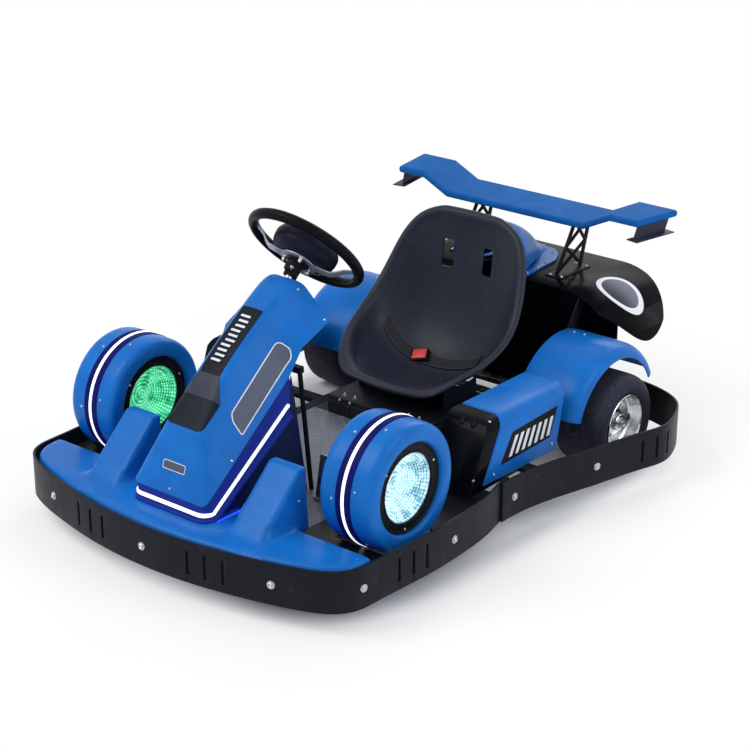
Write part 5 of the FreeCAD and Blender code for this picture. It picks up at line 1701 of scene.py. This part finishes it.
@dataclass
class Seat:
    """Moulded bucket seat with a rolled lip, two harness slots, a lap belt and its buckle.

    A station gives y and z of the bowl's bottom, half its width, and y and z of its rims.
    """

    stations: Sequence[tuple[float, float, float, float, float]] = (
        (94, 225, 136, 96, 241), (118, 218, 163, 117, 251), (150, 207, 185, 151, 265),
        (200, 196, 207, 206, 289), (275, 192, 218, 266, 321), (335, 225, 216, 308, 359),
        (380, 300, 208, 338, 400), (408, 395, 198, 364, 450), (423, 485, 184, 388, 507),
        (429, 545, 162, 406, 549), (429, 574, 134, 418, 574), (428, 588, 92, 424, 588))
    columns: int = 9
    lip: Sequence[Pair] = ((7, 0.6), (14, 0.2), (20, -2.6), (25, -8), (26.5, -15), (23, -22))
    lip_start: float = 80.0
    lip_end: float = 340.0
    lip_gain: float = 0.35
    evening: int = 5
    evened_to: float = 200.0
    middle: Place = (0, 270, 300)
    wall: float = 4.6
    slot_across: float = 66.0
    slot_width: float = 36.0
    slot_low: float = 450.0
    slot_high: float = 525.0
    slot_rounding: float = 7.0
    belt_half: float = 19.0
    hem: Pair = (15.4, 17.4)
    belt_steps: int = 9

    def bowl(self) -> BMesh:
        """The bowl's skin, bridged from arc to arc, its faces towards the driver.

        Returns:
            Its mesh.
        """
        bm = bmesh.new()
        rows = []
        for my, mz, rx, ry, rz in self.stations:
            curl = min(1.0, math.hypot(my - ry, mz - rz) / rx)
            row = []
            for number in range(-self.columns, self.columns + 1):
                share = number / self.columns
                turn = share * math.pi / 2
                depth = math.cos(turn) ** 0.9 if abs(number) < self.columns else 0.0
                across = rx * (math.sin(turn) * curl + share * (1 - curl))
                row.append(mm(across, ry + (my - ry) * depth, rz + (mz - rz) * depth))
            rows.append(row)
        bridge(bm, rows)
        orient(bm, lambda face: face.normal.z)
        return bm

    def roll(self, bm: BMesh) -> None:
        """Rolls the rim outwards and down, broader at the front.

        Args:
            bm: The bowl's mesh.
        """
        rim = [vert for vert in bm.verts if vert.is_boundary]
        beside = {v: [e.other_vert(v) for e in v.link_edges if e.is_boundary] for v in rim}
        for _ in range(self.evening):
            spots = {v: v.co * 0.5 + (a.co + b.co) * 0.25 for v, (a, b) in beside.items()
                     if v.co.y * 1000 < self.evened_to}
            for vert, spot in spots.items():
                vert.co = spot
        bm.normal_update()
        outs, facings = {}, {vert: vert.normal.copy() for vert in beside}
        for vert, (last, after) in beside.items():
            out = (after.co - last.co).cross(vert.normal).normalized()
            outs[vert] = -out if out.dot(vert.co - mm(*self.middle)) < 0 else out
        for _ in range(self.evening):
            outs, facings = ({v: (w[v] * 2 + w[a] + w[b]).normalized() for v, (a, b) in beside.items()}
                             for w in (outs, facings))
        frames = {}
        for vert in beside:
            share = (self.lip_end - vert.co.y * 1000) / (self.lip_end - self.lip_start)
            broad = 1.0 + self.lip_gain * max(0.0, min(1.0, share))
            frames[tuple(round(c, 6) for c in vert.co)] = (vert.co.copy(), outs[vert], facings[vert], broad)
        for along, rise in self.lip:
            made = bmesh.ops.extrude_edge_only(bm, edges=[e for e in bm.edges if e.is_boundary])
            moved = {}
            for vert in [g for g in made["geom"] if isinstance(g, BMVert)]:
                base, out, facing, broad = frames[tuple(round(c, 6) for c in vert.co)]
                vert.co = base + out * (along * broad * MM) + facing * (rise * MM)
                moved[tuple(round(c, 6) for c in vert.co)] = (base, out, facing, broad)
            frames = moved

    def build(self) -> None:
        """Makes the shell, then what lies in it."""
        bm = self.bowl()
        self.roll(bm)
        shell = place(bm, "seat_bucket", "chassis", SEAT, sharp=60.0, outward=False, replaced=["seat_shell"])
        thicken(shell, self.wall)
        carve(shell, self.slots(), 42.0)
        self.belt(shell)
        dress("seat_brackets", FRAME, 1.0)

    def slots(self) -> BMesh:
        """The two harness slots with rounded corners, as one cutting mesh.

        Returns:
            The mesh.
        """
        cutter = bmesh.new()
        front, depth, low, high = 380, 90, self.slot_low, self.slot_high
        for sign in SIDES:
            x0, x1 = (sign * self.slot_across + way * self.slot_width / 2 for way in (-1, 1))
            outline = [(x0, low), (x1, low), (x1 - sign * 2, high), (x0 + 2, high)]
            prism(cutter, [mm(x, front, z) for x, z in outline], mm(0, depth, 0))
        edges = [e for e in cutter.edges if abs(e.verts[0].co.y - e.verts[1].co.y) > 80 * MM]
        round_off(cutter, edges, self.slot_rounding, 4)
        return cutter

    def belt(self, shell: Object) -> None:
        """Lap belt, laid in the bowl, with its hems and the red buckle.

        Args:
            shell: The seat's piece.
        """
        tree = surface_of(shell)
        run = Facet(mm(-66, 300, 222), ACROSS, Vector((0, 0.80, 0.60)))
        half, (inner, outer), steps = self.belt_half, self.hem, self.belt_steps
        strips = (("webbing", -half, half, BELT, 3.4, 2.2), ("hem_a", inner, outer, HEM, 4.0, 0.6),
                  ("hem_b", -outer, -inner, HEM, 4.0, 0.6))
        for tag, near, far, rise in (("right", -14, -118, 46), ("left", 14, 190, 26)):
            for name, low, high, finish, lift, thick in strips:
                lower = [(near + (far - near) * number / steps, low + rise * (number / steps) ** 2)
                         for number in range(steps + 1)]
                outline = lower + [(a, b + high - low) for a, b in reversed(lower)]
                if far < near:
                    outline.reverse()
                Sticker(f"belt_{name}_{tag}", run, outline, finish, lift=lift, step=9.0,
                        thick=thick).lay(tree)
        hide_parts("lap_belt")
        at = tree.ray_cast(run.point(0, 0, 50), -run.facing, 0.2)[0]
        turn = basis(run.across, run.up, run.facing)
        house = bmesh.new()
        block(house, mm(-30, -19, 1), mm(26, 19, 13))
        soften(house, 4.0, 3)
        tongue = bmesh.new()
        block(tongue, mm(-20, -15, 12.2), mm(22, 15, 16.5))
        soften(tongue, 2.4, 3)
        seat = Matrix.Translation(at) @ turn @ Matrix.Rotation(math.radians(20), 4, "Z")
        for mesh, name, finish in ((house, "buckle_case", SATIN), (tongue, "buckle_button", RED)):
            bmesh.ops.transform(mesh, matrix=seat, verts=mesh.verts[:])
            piece = place(mesh, name, "chassis", finish)
            if finish is RED:
                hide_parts("belt_buckle")


@dataclass
class SidePod:
    """Moulded side boxes with their striped panels and the gloss intakes ahead of them."""

    face: float = 470.0
    panel: Sequence[Pair] = ((-59.5, 178), (150, 183), (181, 260), (-11.5, 252))
    bars: int = 7
    bar_width: float = 12.5
    bar_first: float = -26.0
    bar_pitch: float = 26.6
    bar_lean: Pair = (26.5, 1.6)
    bar_low: Pair = (189.0, 0.3)
    bar_high: float = 239.0
    core_across: float = 400.0
    pod_core: Pair = (40.0, 190.0)
    intake_core: Pair = (-60.0, 190.0)

    def shells(self) -> None:
        """Pods and intakes, their outer creases rounded more than their rims."""
        for node, finish, width, core in (("side_pods", BLUE, 5.0, self.pod_core),
                                          ("side_intakes", GLOSS, 7.0, self.intake_core)):
            bm = from_node(node)
            bmesh.ops.dissolve_limit(bm, angle_limit=math.radians(4.0), verts=bm.verts[:], edges=bm.edges[:])
            folds = [e for e in bm.edges if e.is_manifold and e.calc_face_angle(0.0) > math.radians(36)
                     and all(self.outside(f, core) for f in e.link_faces)]
            round_off(bm, folds, width, 4)
            place(bm, f"{node}_skin", "chassis", finish, sharp=30.0, replaced=[node])

    def outside(self, face: BMFace, core: Pair) -> bool:
        """Whether a face looks away from its box's core, given by y and z."""
        middle = face.calc_center_median()
        return face.normal.dot(middle - mm(math.copysign(self.core_across, middle.x), *core)) > 0

    def stripes(self, sign: int, tree: BVHTree) -> None:
        """Dark panel and slanted bars on one side.

        Args:
            sign: 1 on the left, -1 on the right.
            tree: The pods' surface.
        """
        tag, wide = side_name(sign), self.bar_width
        facet = Facet(mm(sign * self.face, 0, 0), Vector((0, sign, 0)), UP)
        Sticker(f"pod_panel_{tag}", facet, on_side(self.panel, sign), SATIN, rounding=3.0,
                lift=0.5, step=60.0).lay(tree)
        for number in range(self.bars):
            low = self.bar_first + number * self.bar_pitch
            high = low + self.bar_lean[0] - number * self.bar_lean[1]
            foot, top = self.bar_low[0] + number * self.bar_low[1], self.bar_high
            bar = [(low, foot), (low + wide, foot), (high + wide, top), (high, top)]
            Sticker(f"pod_bar_{tag}_{number}", facet, on_side(bar, sign), DECAL_WHITE, lift=1.1,
                    step=60.0).lay(tree)

    def intake_marks(self, sign: int, tree: BVHTree, screws: Fasteners) -> None:
        """Two pressed dimples and the bolts on an intake.

        Args:
            sign: 1 on the left, -1 on the right.
            tree: The intakes' surface.
            screws: Where the bolts go.
        """
        bm = bmesh.new()
        for x in (387, 421):
            point, normal = tree.find_nearest(mm(sign * x, -106, 291))[:2]
            turn = normal.to_track_quat("Z", "Y").to_matrix().to_4x4()
            dome = bmesh.ops.create_uvsphere(bm, u_segments=24, v_segments=12, radius=8.5 * MM)["verts"]
            squeeze = Matrix.Translation(point) @ turn @ Matrix.Diagonal((1.0, 1.35, 0.34, 1.0))
            bmesh.ops.transform(bm, matrix=squeeze, verts=dome)
        place(bm, f"intake_dimples_{side_name(sign)}", "chassis", GLOSS, sharp=60.0)
        for x, y, z in ((452, -84, 298), (462, -160, 171), (342, -160, 171)):
            point, normal = tree.find_nearest(mm(sign * x, y, z))[:2]
            screws.screw(point, normal, 3.6)

    def build(self) -> None:
        """Makes both sides."""
        self.shells()
        tree, intakes = surface_of("side_pods"), surface_of("side_intakes")
        screws = Fasteners("pod_screws")
        for sign in SIDES:
            self.stripes(sign, tree)
            self.intake_marks(sign, intakes, screws)
            for y, z in ((-86, 164), (161, 161)):
                screws.screw(mm(sign * (self.face - 0.3), y, z), Vector((sign, 0, 0)), 3.6)
        screws.finish_up()


@dataclass
class RearWheel:
    """Slick tyre on a deep polished rim, under its fender."""

    sign: int
    axle: Pair = (441.5, 132.0)
    across: float = 440.0
    half: float = 75.0
    radius: float = 132.0
    bead: float = 80.0
    dish: float = 58.0
    nut: float = 16.5
    bolt_circle: float = 49.5
    fender_radius: float = 208.0
    fender_inner: float = 292.0
    fender_outer: float = 480.0
    fender_wall: float = 4.0
    fender_start: float = -74.0
    fender_sweep: float = 138.0

    @property
    def tag(self) -> str:
        """Side name."""
        return side_name(self.sign)

    def turned(self, profile: Sequence[Pair], steps: int = 128, middle: float | None = None,
               **sweep: float) -> BMesh:
        """A profile turned about the axle, its axial values towards the outside.

        Args:
            profile: Points as millimetres along the axle and from it.
            steps: Faces round it.
            middle: Where its axial values start from, or None for the wheel's middle.
            sweep: How far it turns and from where, as lathe takes them.

        Returns:
            Its mesh.
        """
        bm = bmesh.new()
        x = self.across if middle is None else middle
        lathe(bm, [(a * self.sign, r) for a, r in profile], mm(self.sign * x, *self.axle), steps, **sweep)
        return bm

    def tyre(self) -> None:
        """Tyre with rounded shoulders, a wall ridge and a bead."""
        h, r, b = self.half, self.radius, self.bead
        side = [(h - 18, b), (h - 13, b + 0.6), (h - 8.5, b + 3), (h - 6.5, b + 6), (h - 4, b + 8),
                (h - 1.2, b + 13), (h, b + 20), (h - 0.2, r - 23), (h - 1.6, r - 17), (h - 4.6, r - 11.5),
                (h - 9.6, r - 6.6), (h - 16, r - 3.2), (h - 25, r - 1.2), (h - 38, r - 0.2), (h - 60, r)]
        profile = side + [(-a, q) for a, q in reversed(side)]
        place(self.turned(profile, 144), f"rear_slick_{self.tag}", f"rear_wheel_{self.tag}", TYRE, sharp=40.0,
              replaced=[f"rear_tyre_{self.tag}"])

    def rim(self) -> None:
        """Spun rim with a rolled lip, stepped barrel, disc, hub and bolts."""
        body = f"rear_wheel_{self.tag}"
        out = self.half - 4
        dish, nut, back = out - self.dish, out - self.nut, -57
        profile = [(out - 4, 79.8), (out - 1, 80.4), (out + 0.6, 79), (out + 0.4, 76.6), (out - 2, 75.4),
                   (out - 7, 75), (out - 11, 73.4), (out - 30, 71.2), (out - 33, 69.2), (out - 36, 66.4),
                   (out - 54, 64.2), (out - 57, 61.6), (dish, 57), (dish, 42), (out - 55, 39.6),
                   (out - 34, 36.8), (out - 31, 34.6), (out - 30, 31), (out - 30, 24.4), (out - 18, 22.6),
                   (nut, 20.6), (nut, 12.6), (back, 12.6), (back, 40), (-25, 44), (-25, 67.5), (back, 71.5),
                   (back, 79.8)]
        bm = self.turned(profile, 128)
        place(bm, f"rear_rim_{self.tag}", body, RIM, sharp=34.0, replaced=[f"rear_hub_{self.tag}"])
        screws = Fasteners(f"rear_rim_bolts_{self.tag}", body)
        way = Vector((self.sign, 0, 0))
        for number in range(6):
            at = mm(self.sign * (self.across + dish), *self.axle)
            at += from_straight_up(30 + 60 * number) * (self.bolt_circle * MM)
            screws.screw(at, way, 4.6, 6.2, 1.1)
        screws.screw(mm(self.sign * (self.across + nut), *self.axle), way, 11.5, 15.5, 0.8)
        screws.finish_up()

    def fender(self) -> None:
        """Arched skin with a broad rounded outer lip, and its liner."""
        x0, x1, r, t = self.fender_inner, self.fender_outer, self.fender_radius, self.fender_wall
        outer = [(x0, r), (x1 - 48, r), (x1 - 38, r - 0.8), (x1 - 28, r - 2.8), (x1 - 18, r - 6.4),
                 (x1 - 10, r - 11.4), (x1 - 4.5, r - 17.6), (x1 - 1.2, r - 25), (x1, r - 33), (x1, r - 36)]
        inner = [(x1 - t, r - 36), (x1 - t, r - 32), (x1 - 6, r - 24), (x1 - 10.5, r - 18),
                 (x1 - 15, r - 13.6), (x1 - 22, r - 9.4), (x1 - 31, r - 6.4), (x1 - 41, r - 4.6), (x0, r - t)]
        bm = self.turned(outer + inner, 84, 0.0, sweep=self.fender_sweep, start=self.fender_start)
        soften(bm, 1.2, 2, 60.0)
        place(bm, f"rear_fender_{self.tag}", "chassis", BLUE, sharp=30.0, replaced=["rear_fenders"])
        liner = [(x0 + 3, r - t - 0.5), (x0 + 3, 70), (x0, 70), (x0, r - t - 0.5)]
        bm = self.turned(liner, 60, 0.0, sweep=self.fender_sweep - 4, start=self.fender_start + 2)
        soften(bm, 0.8, 2, 60.0)
        place(bm, f"fender_liner_{self.tag}", "chassis", SATIN)
        screws = Fasteners(f"fender_screws_{self.tag}")
        out = from_straight_up(6.5)
        for x in (323, 355):
            screws.screw(mm(self.sign * x, *self.axle) + out * ((r - 0.2) * MM), out, 3.4)
        screws.finish_up()

    def build(self) -> None:
        """Makes the wheel and its fender."""
        self.tyre()
        self.rim()
        self.fender()


@dataclass
class RearBody:
    """Gloss deck with painted ovals, drive cover, head fairing and stays."""

    valance: Sequence[Pair] = ((190, 404), (306, 404), (340, 384), (366, 360), (366, 272), (356, 266),
                               (190, 266))
    valance_front: float = 608.0
    dome_screws: Sequence[Pair] = ((99, 560), (97, 610), (87, 663), (54, 748), (0, 776))

    def build(self) -> None:
        """Dresses the rear body and adds its bolts."""
        dress("rear_deck", DECK, 0.9, 60.0)
        dress("rear_bulkhead", GLOSS, 1.2, 50.0)
        dress("headrest_dome", BLUE, 0.9, 70.0)
        dress("bulkhead_stays", FRAME, 1.0)
        dress("deck_stays", SATIN, 1.2)
        bm = bmesh.new()
        for sign in SIDES:
            prism(bm, [mm(sign * x, self.valance_front, z) for x, z in self.valance], mm(0, 3, 0))
        bmesh.ops.recalc_face_normals(bm, faces=bm.faces[:])
        soften(bm, 0.9, 2, 30.0)
        place(bm, "deck_valance", "chassis", GLOSS)
        screws = Fasteners("rear_body_bolts")
        dome = surface_of("headrest_dome")
        for x, y in self.dome_screws:
            for sign in SIDES if x else (1,):
                point = dome.ray_cast(mm(sign * x, y, 600), Vector((0, 0, -1)), 0.3)[0]
                if point is not None:
                    screws.screw(point, UP, 3.4, 4.6)
        screws.finish_up()


@dataclass
class Wing:
    """Rear wing on lattice posts, with dark blank end plates."""

    rounding: float = 7.5
    foot_thickness: float = 4.0

    def build(self) -> None:
        """Makes the blade, ends, posts and base bolts."""
        dress("wing_blade", WING_BLUE, self.rounding, 50.0)
        dress("wing_endplates", FIN, 0.8, 50.0)
        dress("wing_posts", SATIN, 0.7, 50.0)
        screws = Fasteners("wing_post_bolts")
        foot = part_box("wing_posts")[0].z * 1000 + self.foot_thickness
        for sign in SIDES:
            for x in (150, 186):
                for y in (597, 719):
                    screws.screw(mm(sign * x, y, foot), UP, 3.6, 4.8)
        screws.finish_up()


@dataclass
class Chassis:
    """Frame, floor, tower, battery case and the hidden steered wheel."""

    case_height: float = 36.0
    lid_height: float = 38.0
    ribs: int = 9
    rib_pitch: float = 35.0
    rib_width: float = 12.0
    terminals: Sequence[float] = (-127, -92, 92, 127)

    def glow(self) -> None:
        """Blue strips along the plinth's foot and behind the deck's ends."""
        bm = bmesh.new()
        for sign in SIDES:
            rod(bm, mm(sign * 130, -704, 163), mm(sign * 130, -612, 163), 1.3, segments=10)
            rod(bm, mm(sign * 345, -600, 132), mm(sign * 490, -600, 132), 1.6, segments=10)
        place(bm, "glow_strips", "chassis", GLOW)

    def battery(self) -> None:
        """Battery case with a lid seam, ribs and terminal bolts."""
        low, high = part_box("battery_box")
        inset = mm(1.2, 1.2, 0)
        bm = bmesh.new()
        block(bm, low, Vector((high.x, high.y, low.z + self.case_height * MM)))
        block(bm, low + inset + mm(0, 0, self.case_height - 1),
              Vector((high.x, high.y, low.z + (self.lid_height + 1) * MM)) - inset)
        block(bm, low + mm(0, 0, self.lid_height), high)
        for number in range(self.ribs):
            rib = low + mm(30 + number * self.rib_pitch, 0, 0)
            block(bm, rib + mm(0, -2.2, 6), rib + mm(self.rib_width, 2, 32))
        soften(bm, 1.6, 3)
        place(bm, "battery_case", "chassis", CASE, replaced=["battery_box"])
        screws = Fasteners("battery_bolts")
        for x in self.terminals:
            top = Vector((x * MM, low.y, high.z))
            screws.screw(top - mm(0, 0, 6), -REARWARD, 2.8, 4.0, 1.0)
            screws.screw(top + mm(0, 20, 0), UP, 4.0, 6.0, 1.4)
        screws.finish_up()

    def build(self) -> None:
        """Dresses the frame and adds its details."""
        for node, finish, rounding in (("frame_rails", FRAME, 2.5), ("frame_crossmembers", FRAME, 2.0),
                                       ("bumper_arms", FRAME, 1.4), ("tower_side_plates", SLATE, 1.2),
                                       ("drum_saddles", FRAME, 1.0), ("seat_cross_bars", STEEL, 1.6)):
            dress(node, finish, rounding, 50.0)
        for node, finish in (("floor_pan", PLATE), ("steering_head", FRAME),
                             ("steering_column_bearing", SATIN), ("rear_stub_axles", STEEL),
                             ("front_fork", FRAME), ("front_axle_bolt", STEEL), ("front_tyre", FRONT_TYRE),
                             ("front_hub", FRONT_RIM)):
            dress(node, finish)
        self.battery()
        dress("pedals", STEEL, 1.2)
        self.glow()


@dataclass
class Studio:
    """Pale floor, soft lamps and the camera."""

    distance: float = 5.206
    azimuth: float = 39.58
    elevation: float = 22.22
    target: Place = (0.0, 0.0265, 0.2681)
    lens: float = 96.0
    roll: float = -0.1
    floor_size: float = 14.0
    floor_drop: float = 0.6
    aim: Place = (0, 0, 0.25)
    lamps: Sequence[tuple[str, Place, float, float, Colour]] = (
        ("key", (-1.6, -2.6, 3.6), 2.6, 95.0, (1.0, 0.985, 0.96)),
        ("side", (3.6, 0.4, 2.4), 2.2, 45.0, (0.95, 0.97, 1.0)),
        ("rear", (-0.6, 3.4, 2.8), 2.4, 45.0, (1.0, 1.0, 1.0)))

    def floor(self) -> None:
        """A wide pale floor that keeps the kart's shadow and a white surround."""
        bm = bmesh.new()
        below = Matrix.Translation(mm(0, 0, -self.floor_drop))
        bmesh.ops.create_grid(bm, x_segments=2, y_segments=2, size=self.floor_size, matrix=below)
        mesh = bpy.data.meshes.new("studio_floor")
        bm.to_mesh(mesh)
        bm.free()
        mesh.materials.append(self.floor_material())
        floor = bpy.data.objects.new("studio_floor", mesh)
        bpy.context.scene.collection.objects.link(floor)

    def floor_material(self) -> Material:
        """Pale matt floor that turns white to the camera away from the kart, and keeps its shadow near it.

        Returns:
            The material.
        """
        shader = Shader("studio_floor")
        x, y, _ = shader.axes()
        tint = shader.mix(shader.noise(900.0).step(0.3, 0.7), (0.93, 0.93, 0.935), (0.95, 0.95, 0.955))
        look = {"Base Color": tint, "Roughness": 0.9, "Specular IOR Level": 0.2}
        matt = shader.node("ShaderNodeBsdfPrincipled", None, look)
        white = shader.node("ShaderNodeEmission", None, {"Color": (1.0, 1.0, 1.0), "Strength": 1.0})
        away = ((x * MM) ** 2 + (y * MM) ** 2) ** 0.5
        beside = ((x * 0.00165) ** 4 + (y * 0.00125) ** 4).step(0.55, 1.0)
        share = (beside * 0.50 + away.step(0.80, 1.70) * 0.50) * shader.seen("Camera", "Glossy")
        mixed = shader.node("ShaderNodeMixShader", None, {0: share, 1: matt.outputs[0], 2: white.outputs[0]})
        shader.node("ShaderNodeOutputMaterial", None, {"Surface": mixed.outputs[0]})
        return shader.material

    def surround(self) -> None:
        """White to the camera, gloss and glass; a plain grey level for light."""
        shader = Shader("studio_world", "worlds")
        plain = shader.node("ShaderNodeBackground", None, {"Color": (0.93, 0.96, 1.0), "Strength": 0.62})
        white = shader.node("ShaderNodeBackground", None, {"Color": (1.0, 1.0, 1.0), "Strength": 1.0})
        share = shader.seen("Camera", "Transmission", "Glossy")
        mixed = shader.node("ShaderNodeMixShader", None, {0: share, 1: plain.outputs[0], 2: white.outputs[0]})
        shader.node("ShaderNodeOutputWorld", None, {"Surface": mixed.outputs[0]})
        bpy.context.scene.world = shader.material

    def lamp(self, name: str, at: Place, size: float, power: float, colour: Colour) -> None:
        """One square soft lamp, pointed at the kart.

        Args:
            name: Its name.
            at: Where it hangs, in metres.
            size: Its side in metres.
            power: Its power in watts.
            colour: Its colour.
        """
        data = bpy.data.lights.new(name, "AREA")
        data.shape = "SQUARE"
        data.size = size
        data.energy = power
        data.color = colour
        lamp = bpy.data.objects.new(name, data)
        lamp.location = at
        lamp.rotation_euler = (Vector(self.aim) - Vector(at)).to_track_quat("-Z", "Y").to_euler()
        bpy.context.scene.collection.objects.link(lamp)

    def camera(self) -> None:
        """Camera looking down at the kart from its front left."""
        a, e = math.radians(self.azimuth), math.radians(self.elevation)
        back = Vector((math.sin(a) * math.cos(e), -math.cos(a) * math.cos(e), math.sin(e)))
        data = bpy.data.cameras.new("camera")
        data.lens = self.lens
        data.sensor_width = 36.0
        data.clip_end = 60.0
        camera = bpy.data.objects.new("camera", data)
        camera.location = Vector(self.target) + back * self.distance
        roll = Matrix.Rotation(math.radians(-self.roll), 3, "Z")
        camera.rotation_euler = ((-back).to_track_quat("-Z", "Y").to_matrix() @ roll).to_euler()
        bpy.context.scene.collection.objects.link(camera)
        bpy.context.scene.camera = camera

    def build(self) -> None:
        """Sets the studio up."""
        self.floor()
        self.surround()
        for lamp in self.lamps:
            self.lamp(*lamp)
        self.camera()
        bpy.context.scene.view_settings.view_transform = "Standard"


def corners(box: tuple[Vector, Vector]) -> list[list[float]]:
    """A box as two plain lists."""
    return [list(corner) for corner in box]


def main() -> None:
    """Builds the kart round its frame, sub-assembly by sub-assembly."""
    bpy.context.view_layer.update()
    parts = [Studio(), Chassis(), BumperBands(), FrontDeck(), Nose(), Drum(1, LensColour.WHITE),
             Drum(-1, LensColour.GREEN), SteeringWheel(), Seat(), SidePod(), RearWheel(1), RearWheel(-1),
             RearBody(), Wing()]
    for part in parts:
        part.build()
        LOG.info("%s done", type(part).__name__)


if __name__ == "__main__":
    main()
